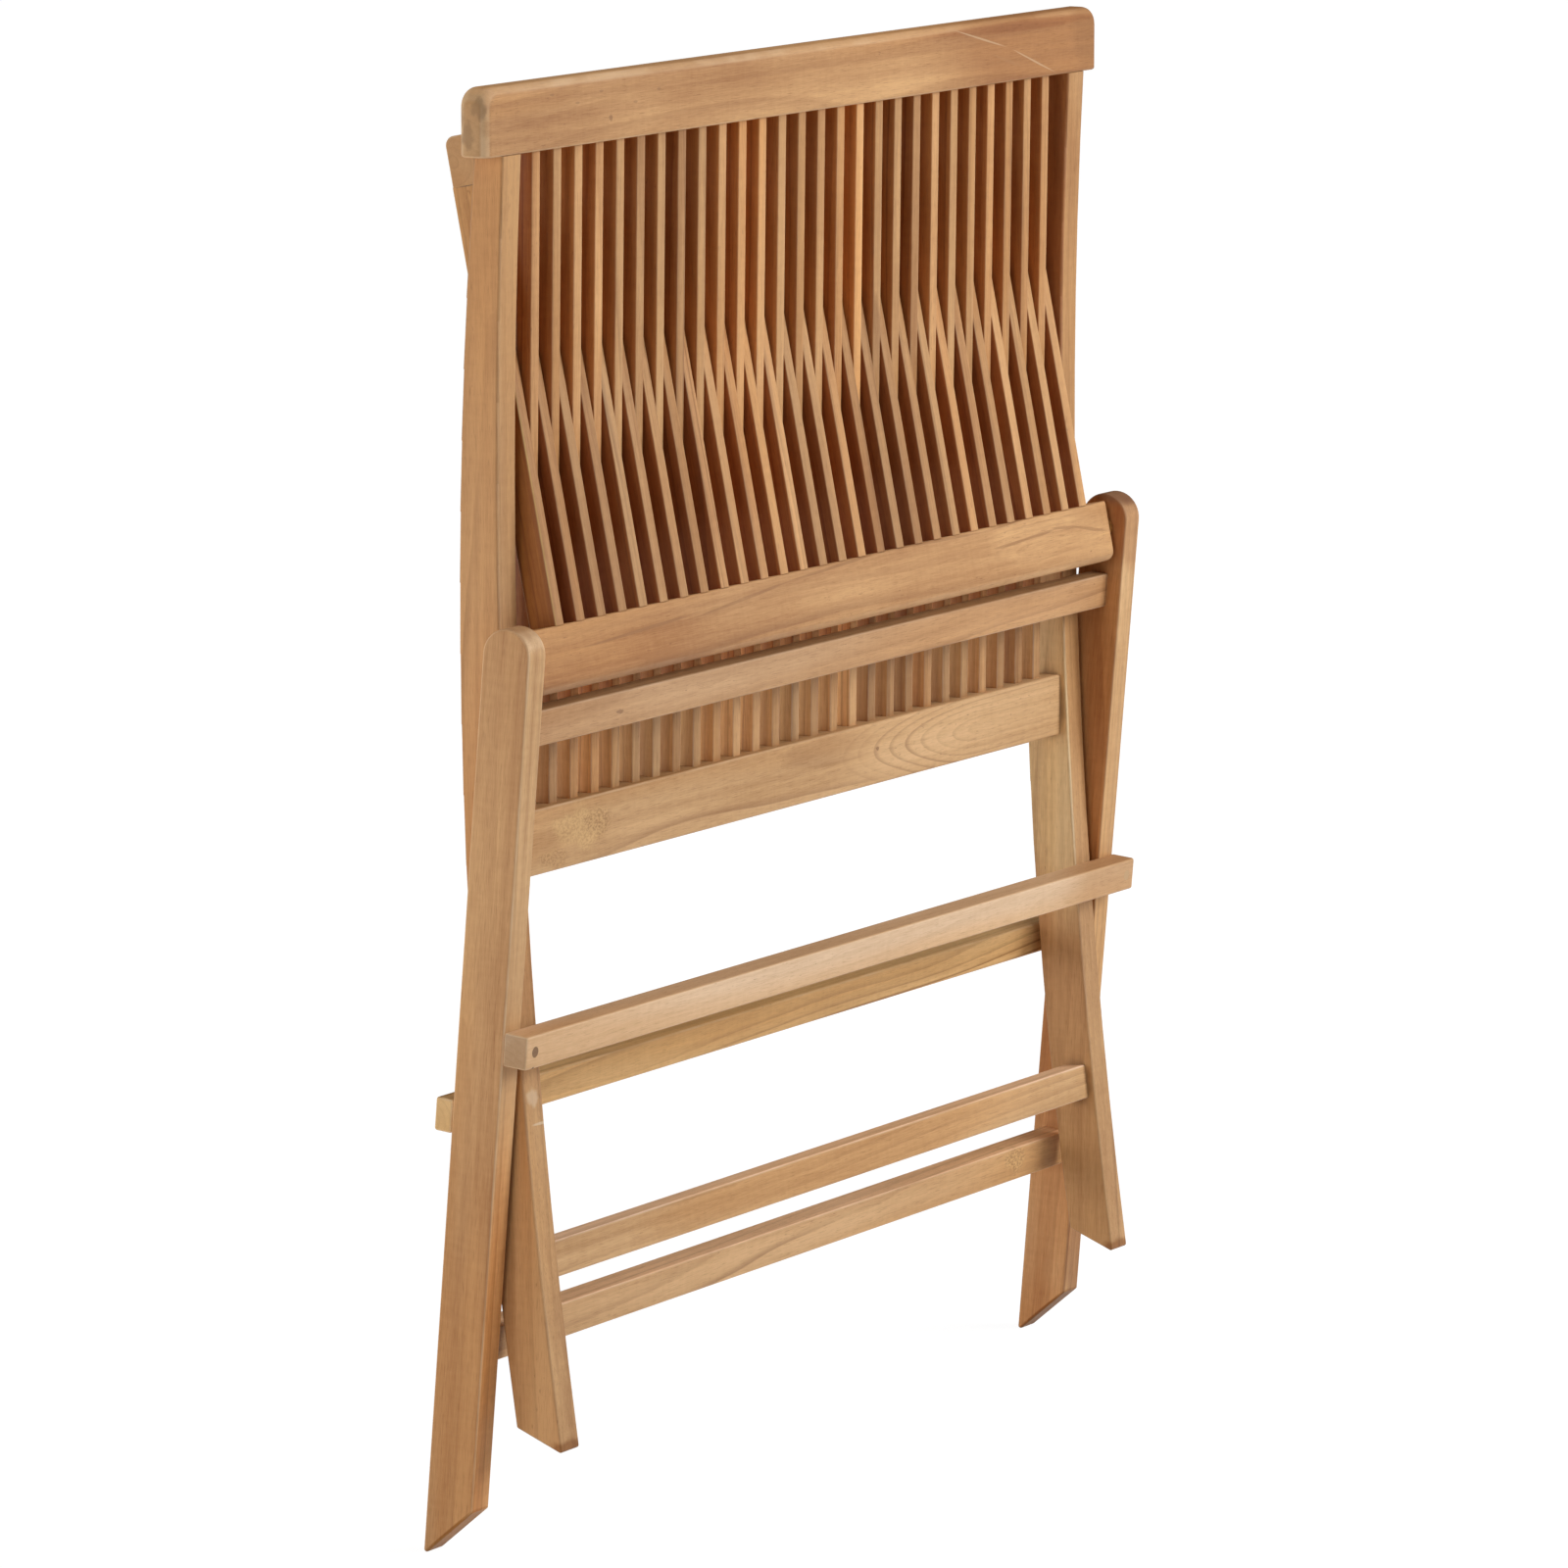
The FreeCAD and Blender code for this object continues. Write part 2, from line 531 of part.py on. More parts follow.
# Seat front rail: pivots between the rear leg tops, holds the slats' front ends.
seat_front = board("seat_front_rail", "seat", "@seat_middle",
                   "@seat_front_rail_wide / 2 - @seat_front_reach",
                   "@seat_deep", "@seat_front_rail_wide", "@seat_rail_half")
ease(seat_front, "@seat_corner_round",
     lambda edge: edge.BoundBox.YLength > 1 and edge.BoundBox.ZMax < 0)
ease(seat_front, "@seat_round",
     lambda edge: edge.BoundBox.XLength > 100 and edge.BoundBox.ZMax < 0)
ease(seat_front, "@edge_round", lambda edge: edge.BoundBox.ZMin > 1)
slat_housings(seat_front, "@seat_slat_start", "@seat_middle", "@seat_tongue_thick",
              "@seat_tongue_deep", "(@back_slat_count + 1)", False)
end_holes(seat_front, "@seat_rail_half", [("0", "0")], SEAT_PIN_HOLE,
          "@seat_pin_rail_depth + @end_gap")

# Seat rear rail: behind the back, joins the slats' rear ends.
seat_rear = board("seat_rear_rail", "seat", "@seat_middle",
                  "@seat_slat_end + @seat_rear_rail_wide / 2",
                  "@seat_deep", "@seat_rear_rail_wide", "@seat_side")
behind_slats = amount("@seat_slat_end") + 1
ease(seat_rear, "@seat_round",
     lambda edge: edge.BoundBox.XLength > 100 and edge.BoundBox.ZMin > behind_slats)
ease(seat_rear, "@edge_round", lambda edge: edge.BoundBox.ZMax > behind_slats)
slat_housings(seat_rear, "@seat_slat_end", "@seat_middle", "@seat_tongue_thick",
              "@seat_tongue_deep", "(@back_slat_count + 1)", True)


# Seat slats: full depth between the rails, with thinner tongues let into them.
def seat_slats(label, positions):
    body = new_body(label, "seat")
    section = new_sketch(body, "XY_Plane", "@seat_slat_start")
    for position in positions:
        add_rectangle(section, position, "@seat_middle", "@seat_slat_thick", "@seat_deep")
    pad(body, section, "@seat_slat_clear")
    ease(body, "@slat_round", along(V(0, 0, 1)))
    tongue = new_sketch(body, "XY_Plane", "@seat_slat_start - @housing_deep")
    for position in positions:
        add_rectangle(tongue, position, "@seat_middle", "@seat_tongue_thick", "@seat_tongue_deep")
    pad(body, tongue, "@seat_slat_clear + 2 * @housing_deep")
    return body


seat_count = back_slat_count + 1
seat_positions = ["@slat_pitch * (%d - @back_slat_count / 2)" % index
                  for index in range(seat_count)]
seat_side_left = seat_slats("seat_side_left", seat_positions[:1])
seat_side_right = seat_slats("seat_side_right", seat_positions[-1:])
seat_slat_nodes = []
for start in range(1, seat_count - 1, 2):
    seat_slat_nodes.append(
        seat_slats("seat_slats_%02d" % ((start + 1) // 2), seat_positions[start:start + 2]))


# Fittings: round pieces along X, built on both sides in one node.
def pins(label, frame, points, radius, start, length):
    """One round pin per point and side, from start outwards."""
    body = new_body(label, frame)
    for side in (1, -1):
        sketch = new_sketch(body, "YZ_Plane", "%d * (%s)" % (side, start))
        for across, up in points:
            add_circle(sketch, across, up, radius)
        pad(body, sketch, length, back=side < 0)
    return body


def washers(label, frame, radius, hole, start, thick):
    body = new_body(label, frame)
    for side in (1, -1):
        sketch = new_sketch(body, "YZ_Plane", "%d * (%s)" % (side, start))
        add_circle(sketch, "0", "0", radius)
        add_circle(sketch, "0", "0", hole)
        pad(body, sketch, thick, back=side < 0)
    return body


leg_pins = pins("leg_pivot_pins", "back", [("0", "0")], "@leg_pin_radius",
                "@stile_outer - @leg_pin_depth", "2 * @leg_pin_depth + @leg_gap")
seat_pins = pins("seat_pivot_pins", "seat", [("0", "0")], "@seat_pin_radius",
                 "@seat_rail_half - @seat_pin_rail_depth",
                 "@seat_pin_rail_depth + @seat_rail_gap + @seat_pin_leg_depth")
leg_washers = washers("leg_pivot_washers", "back", "@leg_washer_radius",
                      "@leg_pin_radius + @running_gap", "@stile_outer", "@leg_washer_thick")
seat_washers = washers("seat_pivot_washers", "seat", "@seat_washer_radius",
                       "@seat_pin_radius + @running_gap", "@seat_rail_half", "@seat_washer_thick")

# Hidden dowels of the back frame and of the rear leg frame.
DOWEL_LENGTH = "@dowel_depth_frame + @dowel_depth_rail"
back_dowels = pins("back_frame_dowels", "back", LOWER_RAIL_DOWELS + [FRONT_STRETCHER_DOWEL],
                   "@dowel_radius", "@stile_inner - @dowel_depth_rail", DOWEL_LENGTH)
leg_dowels = pins("leg_frame_dowels", "legs", [UPPER_STRETCHER_DOWEL, REAR_STRETCHER_DOWEL],
                  "@dowel_radius", "@leg_inner - @dowel_depth_rail", DOWEL_LENGTH)
top_dowels = new_body("top_rail_dowels", "back")
top_circles = new_sketch(top_dowels, "XY_Plane", "@back_height - @dowel_depth_rail")
for side in (1, -1):
    for offset in TOP_DOWEL_OFFSETS:
        add_circle(top_circles, "%d * @stile_middle" % side, offset, "@dowel_radius")
pad(top_dowels, top_circles, "2 * @dowel_depth_rail")


# Screws of the stop bars and the wood plugs that cover them.
def bar_fittings(label, stages):
    """Round pieces along Y at both legs for the front and the rear bar."""
    body = new_body(label, "legs")
    for bar_deep, up, sign in (("@front_bar_deep", "@front_bar_up", -1),
                               ("@rear_bar_deep", "-@rear_bar_drop", 1)):
        for radius, *spans in stages:
            inset, length = [span.replace("@bar_deep", bar_deep) for span in spans]
            face = "%d * (@leg_deep / 2 + %s - (%s))" % (-sign, bar_deep, inset)
            sketch = new_sketch(body, "XZ_Plane", face)
            for side in (1, -1):
                add_circle(sketch, "%d * @leg_middle" % side, up, radius)
            pad(body, sketch, length, back=sign > 0)
    return body


plugs = bar_fittings("stop_bar_plugs", [("@plug_radius", "@plug_thick", "@plug_thick")])
screws = bar_fittings("stop_bar_screws", [
    ("@screw_head_radius", "@plug_thick + @screw_head_thick", "@screw_head_thick"),
    ("@screw_radius", "@bar_deep + @screw_bite",
     "@bar_deep + @screw_bite - @plug_thick - @screw_head_thick"),
])

# Check every object, then write one file per node.
doc.recompute()
for item in doc.Objects:
    if "Invalid" in item.State or "Error" in item.State:
        raise RuntimeError("%s did not compute: %s" % (item.Label, item.State))
nodes = [item for item in doc.Objects if item.TypeId == "PartDesign::Body"]
os.makedirs("parts", exist_ok=True)
for node in nodes:
    if node.Shape.isNull() or not node.Shape.isValid():
        raise RuntimeError("%s has no valid solid" % node.Label)
    node.Shape.exportStep("parts/%s.step" % node.Label)
    print("%-20s solids %2d  volume %9.0f" % (node.Label, len(node.Shape.Solids), node.Shape.Volume))
box = FreeCAD.BoundBox()
for node in nodes:
    box.add(node.Shape.BoundBox)
print("nodes", len(nodes), "box", box)
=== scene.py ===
import math

import bpy
from mathutils import Euler, Matrix, Vector


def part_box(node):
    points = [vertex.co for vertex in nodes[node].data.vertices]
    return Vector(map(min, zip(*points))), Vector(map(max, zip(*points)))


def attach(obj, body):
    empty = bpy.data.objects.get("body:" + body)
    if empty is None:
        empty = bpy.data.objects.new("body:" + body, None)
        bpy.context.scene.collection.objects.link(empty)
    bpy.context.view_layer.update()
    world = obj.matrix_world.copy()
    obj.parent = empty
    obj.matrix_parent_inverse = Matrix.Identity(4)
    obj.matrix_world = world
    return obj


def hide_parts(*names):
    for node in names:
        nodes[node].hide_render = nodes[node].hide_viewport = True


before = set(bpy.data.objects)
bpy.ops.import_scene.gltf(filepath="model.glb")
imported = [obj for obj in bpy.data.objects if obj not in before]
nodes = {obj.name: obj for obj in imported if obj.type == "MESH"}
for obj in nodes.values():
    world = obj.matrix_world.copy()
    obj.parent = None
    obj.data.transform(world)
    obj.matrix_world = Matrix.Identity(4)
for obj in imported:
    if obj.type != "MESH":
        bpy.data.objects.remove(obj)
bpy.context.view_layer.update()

# Stiles: the two back posts, sawn from teak boards to a long sweep and sanded.
# They carry both back rails on dowels, and their lower ends are the front feet.
# The wood is plain-sawn and honey coloured, with fine brown lines along the post.
UPRIGHT = Matrix.Rotation(math.radians(-90), 3, "Y")


def calc(tree, operation, *terms):
    """One math node; a term is a socket or a number."""
    node = tree.nodes.new("ShaderNodeMath")
    node.operation = operation
    for socket, term in zip(node.inputs, terms):
        if isinstance(term, bpy.types.NodeSocket):
            tree.links.new(term, socket)
        else:
            socket.default_value = term
    return node.outputs[0]


def band(tree, value, start, end, low=0.0, high=1.0):
    """Smooth step of a value from low to high."""
    node = tree.nodes.new("ShaderNodeMapRange")
    node.interpolation_type = "SMOOTHSTEP"
    tree.links.new(value, node.inputs["Value"])
    for name, number in (("From Min", start), ("From Max", end), ("To Min", low), ("To Max", high)):
        node.inputs[name].default_value = number
    return node.outputs["Result"]


def grain_noise(tree, position, along, across, detail, roughness=0.5):
    """Noise drawn out along the wood, as blotches per metre along and across it."""
    stretch = tree.nodes.new("ShaderNodeVectorMath")
    stretch.operation = "MULTIPLY"
    tree.links.new(position, stretch.inputs[0])
    stretch.inputs[1].default_value = (along, across, across)
    noise = tree.nodes.new("ShaderNodeTexNoise")
    noise.inputs["Scale"].default_value = 1.0
    noise.inputs["Detail"].default_value = detail
    noise.inputs["Roughness"].default_value = roughness
    tree.links.new(stretch.outputs[0], noise.inputs["Vector"])
    return noise.outputs["Fac"]


def blend_colour(tree, factor, first, second, method="MIX"):
    """One colour mix; each term is a socket, a colour or a number."""
    node = tree.nodes.new("ShaderNodeMix")
    node.data_type = "RGBA"
    node.blend_type = method
    for socket, term in ((node.inputs[0], factor), (node.inputs[6], first), (node.inputs[7], second)):
        if isinstance(term, bpy.types.NodeSocket):
            tree.links.new(term, socket)
        elif isinstance(term, tuple):
            socket.default_value = (*term, 1.0)
        else:
            socket.default_value = term
    return node.outputs[2]


def new_group(name, inputs, outputs):
    """Empty shader node group, with its inputs and outputs by name."""
    tree = bpy.data.node_groups.new(name, "ShaderNodeTree")
    for label, kind in inputs:
        tree.interface.new_socket(label, in_out="INPUT", socket_type="NodeSocket" + kind)
    for label, kind in outputs:
        tree.interface.new_socket(label, in_out="OUTPUT", socket_type="NodeSocket" + kind)
    return tree, tree.nodes.new("NodeGroupInput").outputs, tree.nodes.new("NodeGroupOutput").inputs


def shift_by(tree, position, offset, operation="ADD"):
    """One vector node on two sockets."""
    node = tree.nodes.new("ShaderNodeVectorMath")
    node.operation = operation
    tree.links.new(position, node.inputs[0])
    tree.links.new(offset, node.inputs[1])
    return node.outputs[0]


def make_teak_figure():
    """Growth rings round a leaning heart, drawn-out streaks, pits and open pores."""
    tree, given, result = new_group(
        "teak_figure",
        (("Grain Position", "Vector"), ("Seed", "Float"), ("Heart", "Vector"), ("Heart Lean", "Vector"),
         ("Lean End", "Float"), ("Ring Spacing", "Float"), ("Ring Strength", "Float"),
         ("Light Wood", "Color"), ("Dark Wood", "Color"), ("Line Wood", "Color")),
        (("Color", "Color"), ("Roughness", "Float"), ("Height", "Float")))
    shift = tree.nodes.new("ShaderNodeCombineXYZ")
    for axis, share in enumerate((1.73, 0.61, 0.37)):
        tree.links.new(calc(tree, "MULTIPLY", given["Seed"], share), shift.inputs[axis])
    place = shift_by(tree, given["Grain Position"], shift.outputs[0])
    along = tree.nodes.new("ShaderNodeSeparateXYZ")
    tree.links.new(given["Grain Position"], along.inputs[0])
    leaning = tree.nodes.new("ShaderNodeVectorMath")
    leaning.operation = "SCALE"
    tree.links.new(given["Heart Lean"], leaning.inputs[0])
    run_out = calc(tree, "SMOOTH_MIN", along.outputs[0], given["Lean End"], 0.05)
    tree.links.new(run_out, leaning.inputs["Scale"])
    heart = shift_by(tree, given["Heart"], leaning.outputs[0])
    from_heart = tree.nodes.new("ShaderNodeSeparateXYZ")
    tree.links.new(shift_by(tree, given["Grain Position"], heart, "SUBTRACT"), from_heart.inputs[0])
    # Rings: turns counted out from the heart, which wanders a little along the board.
    drift = calc(tree, "SUBTRACT", grain_noise(tree, place, 2.6, 11.0, 1.0), 0.5)
    across = calc(tree, "MULTIPLY_ADD", drift, 0.020, from_heart.outputs[1])
    sway = calc(tree, "SUBTRACT", grain_noise(tree, place, 2.1, 9.0, 1.0), 0.5)
    deep = calc(tree, "MULTIPLY_ADD", sway, 0.022, from_heart.outputs[2])
    radius = calc(tree, "SQRT", calc(tree, "ADD", calc(tree, "MULTIPLY", across, across),
                                     calc(tree, "MULTIPLY", deep, deep)))
    turns = calc(tree, "DIVIDE", radius, given["Ring Spacing"])
    turns = calc(tree, "MULTIPLY_ADD", grain_noise(tree, place, 6.0, 70.0, 1.0), 0.25, turns)
    ring = calc(tree, "FRACT", turns)
    # Late wood: a dark line at the end of each ring, stronger in some years, faint in patches.
    year = tree.nodes.new("ShaderNodeTexWhiteNoise")
    year.noise_dimensions = "1D"
    year_number = calc(tree, "MULTIPLY_ADD", given["Seed"], 7.3, calc(tree, "FLOOR", turns))
    tree.links.new(year_number, year.inputs["W"])
    strong = calc(tree, "MULTIPLY_ADD", calc(tree, "POWER", year.outputs["Value"], 2.0), 0.85, 0.15)
    line = calc(tree, "MULTIPLY", band(tree, ring, 0.60, 0.94), band(tree, ring, 0.94, 1.0, 1.0, 0.0))
    patchy = band(tree, grain_noise(tree, place, 2.2, 24.0, 1.0), 0.36, 0.62, 0.25, 1.0)
    line = calc(tree, "MULTIPLY", calc(tree, "MULTIPLY", line, strong), patchy)
    line = calc(tree, "MULTIPLY", line, given["Ring Strength"])
    # Tone: broad bands, clouds, thin streaks, single fibres and a faint ripple across them.
    broad = calc(tree, "SUBTRACT", grain_noise(tree, place, 1.2, 20.0, 2.0), 0.5)
    cloud = calc(tree, "SUBTRACT", grain_noise(tree, place, 6.0, 26.0, 2.0), 0.5)
    streak = calc(tree, "SUBTRACT", grain_noise(tree, place, 2.6, 210.0, 2.0), 0.5)
    fine = calc(tree, "SUBTRACT", grain_noise(tree, place, 60.0, 1100.0, 2.0), 0.5)
    ripple = calc(tree, "SUBTRACT", grain_noise(tree, place, 230.0, 70.0, 1.0), 0.5)
    tone = calc(tree, "MULTIPLY_ADD", broad, 1.6, 0.54)
    tone = calc(tree, "MULTIPLY_ADD", cloud, 0.9, tone)
    tone = calc(tree, "MULTIPLY_ADD", streak, 0.8, tone)
    tone = calc(tree, "MULTIPLY_ADD", fine, 0.6, tone)
    tone = calc(tree, "MULTIPLY_ADD", ripple, 0.22, tone)
    tone = calc(tree, "MULTIPLY_ADD", calc(tree, "SUBTRACT", ring, 0.5), -0.12, tone)
    limit = tree.nodes.new("ShaderNodeClamp")
    tree.links.new(tone, limit.inputs[0])
    wood = blend_colour(tree, limit.outputs[0], given["Dark Wood"], given["Light Wood"])
    ruddy = band(tree, grain_noise(tree, place, 2.0, 22.0, 1.0), 0.45, 0.68, 0.0, 0.8)
    wood = blend_colour(tree, ruddy, wood, (0.97, 0.86, 0.70), "MULTIPLY")
    wood = blend_colour(tree, calc(tree, "MULTIPLY", line, 0.9), wood, given["Line Wood"])
    # Pores: short open vessels along the grain, and here and there a wider dusty pit.
    pore = band(tree, grain_noise(tree, place, 80.0, 2300.0, 1.0), 0.58, 0.74)
    pit = calc(tree, "MULTIPLY", band(tree, grain_noise(tree, place, 150.0, 620.0, 1.0), 0.70, 0.80),
               band(tree, grain_noise(tree, place, 3.0, 28.0, 0.0), 0.52, 0.66))
    wood = blend_colour(tree, calc(tree, "MULTIPLY", pore, 0.36), wood, given["Line Wood"])
    wood = blend_colour(tree, calc(tree, "MULTIPLY", pit, 0.5), wood, given["Line Wood"])
    tree.links.new(wood, result["Color"])
    rough = calc(tree, "MULTIPLY_ADD", streak, 0.20, 0.56)
    tree.links.new(calc(tree, "MULTIPLY_ADD", pore, 0.12, rough), result["Roughness"])
    height = calc(tree, "MULTIPLY_ADD", streak, 0.35, calc(tree, "MULTIPLY", line, -0.25))
    height = calc(tree, "MULTIPLY_ADD", pit, -0.8, height)
    tree.links.new(calc(tree, "MULTIPLY_ADD", pore, -0.5, height), result["Height"])
    return tree


def make_eased_edge():
    """Mask of the sanded edges, where handling has rubbed the wood pale and a painted highlight is laid on.
    """
    tree, given, result = new_group(
        "eased_edge", (("Turn", "Vector"), ("Grain Position", "Vector")), (("Mask", "Float"),))
    facing = tree.nodes.new("ShaderNodeVectorRotate")
    facing.rotation_type = "EULER_XYZ"
    facing.invert = True
    tree.links.new(tree.nodes.new("ShaderNodeTexCoord").outputs["Normal"], facing.inputs["Vector"])
    tree.links.new(given["Turn"], facing.inputs["Rotation"])
    parts = tree.nodes.new("ShaderNodeSeparateXYZ")
    tree.links.new(facing.outputs[0], parts.inputs[0])
    square = calc(tree, "ABSOLUTE", parts.outputs[0])
    for axis in (1, 2):
        square = calc(tree, "MAXIMUM", square, calc(tree, "ABSOLUTE", parts.outputs[axis]))
    bend = band(tree, square, 0.98, 0.88)
    # Patchy along the edge: uneven wear and an uneven painted highlight.
    rub = band(tree, grain_noise(tree, given["Grain Position"], 22.0, 60.0, 3.0), 0.35, 0.68)
    tree.links.new(calc(tree, "MULTIPLY", bend, calc(tree, "MULTIPLY_ADD", rub, 0.6, 0.4)),
                   result["Mask"])
    return tree


def make_square_face():
    """Mask of the faces square to an axis, such as the ends sawn across the grain."""
    tree, given, result = new_group("square_face", (("Axis", "Vector"),), (("Mask", "Float"),))
    facing = tree.nodes.new("ShaderNodeTexCoord")
    match = tree.nodes.new("ShaderNodeVectorMath")
    match.operation = "DOT_PRODUCT"
    tree.links.new(facing.outputs["Normal"], match.inputs[0])
    tree.links.new(given["Axis"], match.inputs[1])
    tree.links.new(band(tree, calc(tree, "ABSOLUTE", match.outputs["Value"]), 0.55, 0.85), result["Mask"])
    return tree


TEAK_FIGURE = make_teak_figure()
EASED_EDGE = make_eased_edge()
SQUARE_FACE = make_square_face()
HONEY = {"light": (0.665, 0.383, 0.170), "dark": (0.385, 0.176, 0.062), "line": (0.205, 0.078, 0.027)}
PALE_EDGE_WEAR_AND_HIGHLIGHT = (0.86, 0.63, 0.40)
END_TONE = (0.33, 0.19, 0.095)
PAST_THE_BOARD = 9.0


def group_node(tree, group):
    """One use of a shader node group."""
    node = tree.nodes.new("ShaderNodeGroup")
    node.node_tree = group
    return node


def attribute(tree, name, output="Fac"):
    """A value that each stick of a row carries."""
    node = tree.nodes.new("ShaderNodeAttribute")
    node.attribute_name = name
    return node.outputs[output]


def draw_figure(tree, position, seed, heart, lean, lean_end, spacing, rings, colours):
    """One teak figure: where its heart lies, how that leans, and the rings' spacing and strength."""
    figure = group_node(tree, TEAK_FIGURE)
    tree.links.new(position, figure.inputs["Grain Position"])
    figure.inputs["Seed"].default_value = seed
    figure.inputs["Heart"].default_value = (0.0, *heart)
    figure.inputs["Heart Lean"].default_value = (0.0, *lean)
    figure.inputs["Lean End"].default_value = lean_end
    figure.inputs["Ring Spacing"].default_value = spacing
    figure.inputs["Ring Strength"].default_value = rings
    for label, key in (("Light Wood", "light"), ("Dark Wood", "dark"), ("Line Wood", "line")):
        figure.inputs[label].default_value = (*colours[key], 1.0)
    return figure


def teak(name, seed, centre, run=None, heart=(0.03, 0.04), lean=(0.0, 0.03), spacing=0.0075,
         rings=0.6, colours=HONEY, end=END_TONE, edge=PALE_EDGE_WEAR_AND_HIGHLIGHT, worn=0.4, flank_shade=None):
    """Oiled and sanded teak whose grain runs along the piece's own length.

    Run turns the grain from X, heart and lean place the rings, and worn says how strongly the edge
    colour is laid on the eased edges: handling wear with a painted highlight where it is pale, a darker
    edge where it is dark. The flank tone is for a row of sticks: painted shade on their sides.
    """
    material = bpy.data.materials.new(name)
    material.use_nodes = True
    tree = material.node_tree
    shader = tree.nodes["Principled BSDF"]
    run = run or Matrix.Identity(3)
    turn = tree.nodes.new("ShaderNodeMapping")
    turn.vector_type = "TEXTURE"
    turn.inputs["Location"].default_value = centre
    turn.inputs["Rotation"].default_value = run.to_euler("XYZ")
    tree.links.new(tree.nodes.new("ShaderNodeTexCoord").outputs["Object"], turn.inputs["Vector"])
    position = turn.outputs[0]
    figure = draw_figure(tree, position, seed, heart, lean, PAST_THE_BOARD, spacing, rings, colours)
    colour = figure.outputs["Color"]
    if flank_shade:
        # Each stick of a row has a seed, a heart and a tone of its own.
        number = attribute(tree, "stick_number")
        tree.links.new(calc(tree, "MULTIPLY_ADD", number, 3.7, seed), figure.inputs["Seed"])
        place = tree.nodes.new("ShaderNodeCombineXYZ")
        tree.links.new(calc(tree, "ADD", number, heart[0]), place.inputs[1])
        tree.links.new(attribute(tree, "stick_heart"), place.inputs[2])
        tree.links.new(place.outputs[0], figure.inputs["Heart"])
        colour = blend_colour(tree, 1.0, colour, attribute(tree, "stick_tone", "Color"), "MULTIPLY")
        # Painted shade on the sides of the sticks, darker and redder as in the narrow gaps.
        side = group_node(tree, SQUARE_FACE)
        side.inputs["Axis"].default_value = (1, 0, 0)
        colour = blend_colour(tree, side.outputs["Mask"], colour, flank_shade, "MULTIPLY")
    sawn = group_node(tree, SQUARE_FACE)
    sawn.inputs["Axis"].default_value = run @ Vector((1, 0, 0))
    colour = blend_colour(tree, calc(tree, "MULTIPLY", sawn.outputs["Mask"], 0.5), colour, end)
    eased = group_node(tree, EASED_EDGE)
    eased.inputs["Turn"].default_value = run.to_euler("XYZ")
    tree.links.new(position, eased.inputs["Grain Position"])
    edge_wear_and_painted_light = calc(tree, "MULTIPLY", eased.outputs["Mask"], worn)
    tree.links.new(blend_colour(tree, edge_wear_and_painted_light, colour, edge), shader.inputs["Base Color"])
    tree.links.new(figure.outputs["Roughness"], shader.inputs["Roughness"])
    bump = tree.nodes.new("ShaderNodeBump")
    bump.inputs["Strength"].default_value = 0.22
    bump.inputs["Distance"].default_value = 0.0004
    tree.links.new(figure.outputs["Height"], bump.inputs["Height"])
    tree.links.new(bump.outputs[0], shader.inputs["Normal"])
    shader.inputs["Specular IOR Level"].default_value = 0.3
    return material


def make_spot():
    """Mask of one small ragged mark on the wood."""
    tree, given, result = new_group(
        "spot", (("Place", "Vector"), ("Turn", "Vector"), ("Size", "Vector"), ("Ragged", "Float")),
        (("Mask", "Float"),))
    here = tree.nodes.new("ShaderNodeTexCoord").outputs["Object"]
    turn = tree.nodes.new("ShaderNodeVectorRotate")
    turn.rotation_type = "EULER_XYZ"
    turn.invert = True
    tree.links.new(shift_by(tree, here, given["Place"], "SUBTRACT"), turn.inputs["Vector"])
    tree.links.new(given["Turn"], turn.inputs["Rotation"])
    away = shift_by(tree, turn.outputs[0], given["Size"], "DIVIDE")
    length = tree.nodes.new("ShaderNodeVectorMath")
    length.operation = "LENGTH"
    tree.links.new(away, length.inputs[0])
    fray = calc(tree, "SUBTRACT", grain_noise(tree, away, 1.3, 1.3, 3.0), 0.5)
    reach = calc(tree, "ADD", length.outputs["Value"], calc(tree, "MULTIPLY", fray, given["Ragged"]))
    tree.links.new(band(tree, reach, 1.0, 0.55), result["Mask"])
    return tree


SPOT = make_spot()


def mark(material, place, size, colour, amount, ragged=1.2, turn=(0, 0, 0), method="MIX", facing=None):
    """Tint one place of a finished wood, such as a rub, a bruise, a hole, a swirl or a patch of painted
    shadow.
    """
    tree = material.node_tree
    base = tree.nodes["Principled BSDF"].inputs["Base Color"]
    spot = group_node(tree, SPOT)
    spot.inputs["Place"].default_value = place
    spot.inputs["Turn"].default_value = turn
    spot.inputs["Size"].default_value = size
    spot.inputs["Ragged"].default_value = ragged
    shown = calc(tree, "MULTIPLY", spot.outputs["Mask"], amount)
    if facing:
        square = group_node(tree, SQUARE_FACE)
        square.inputs["Axis"].default_value = facing
        shown = calc(tree, "MULTIPLY", shown, square.outputs["Mask"])
    tree.links.new(blend_colour(tree, shown, base.links[0].from_socket, colour, method), base)


def shade(material, place, size, tone, ragged=0.4, turn=(0, 0, 0), facing=None):
    """Deepen or fade the wood over one stretch of a board, for its own tone and for painted light and
    shade.
    """
    mark(material, place, size, tone, 1.0, ragged, turn, "MULTIPLY", facing)


def tint_faces(material, axis, tone):
    """Deepen or fade the faces square to an axis, for a board's own tone and for painted light and shade.
    """
    tree = material.node_tree
    base = tree.nodes["Principled BSDF"].inputs["Base Color"]
    facing = group_node(tree, SQUARE_FACE)
    facing.inputs["Axis"].default_value = axis
    wood = base.links[0].from_socket
    tree.links.new(blend_colour(tree, facing.outputs["Mask"], wood, tone, "MULTIPLY"), base)


def middle(node):
    """Centre of one CAD node."""
    low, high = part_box(node)
    return (low + high) / 2


def dress(node, material):
    """Give one CAD node its finish."""
    slots = nodes[node].data.materials
    slots.clear()
    slots.append(material)


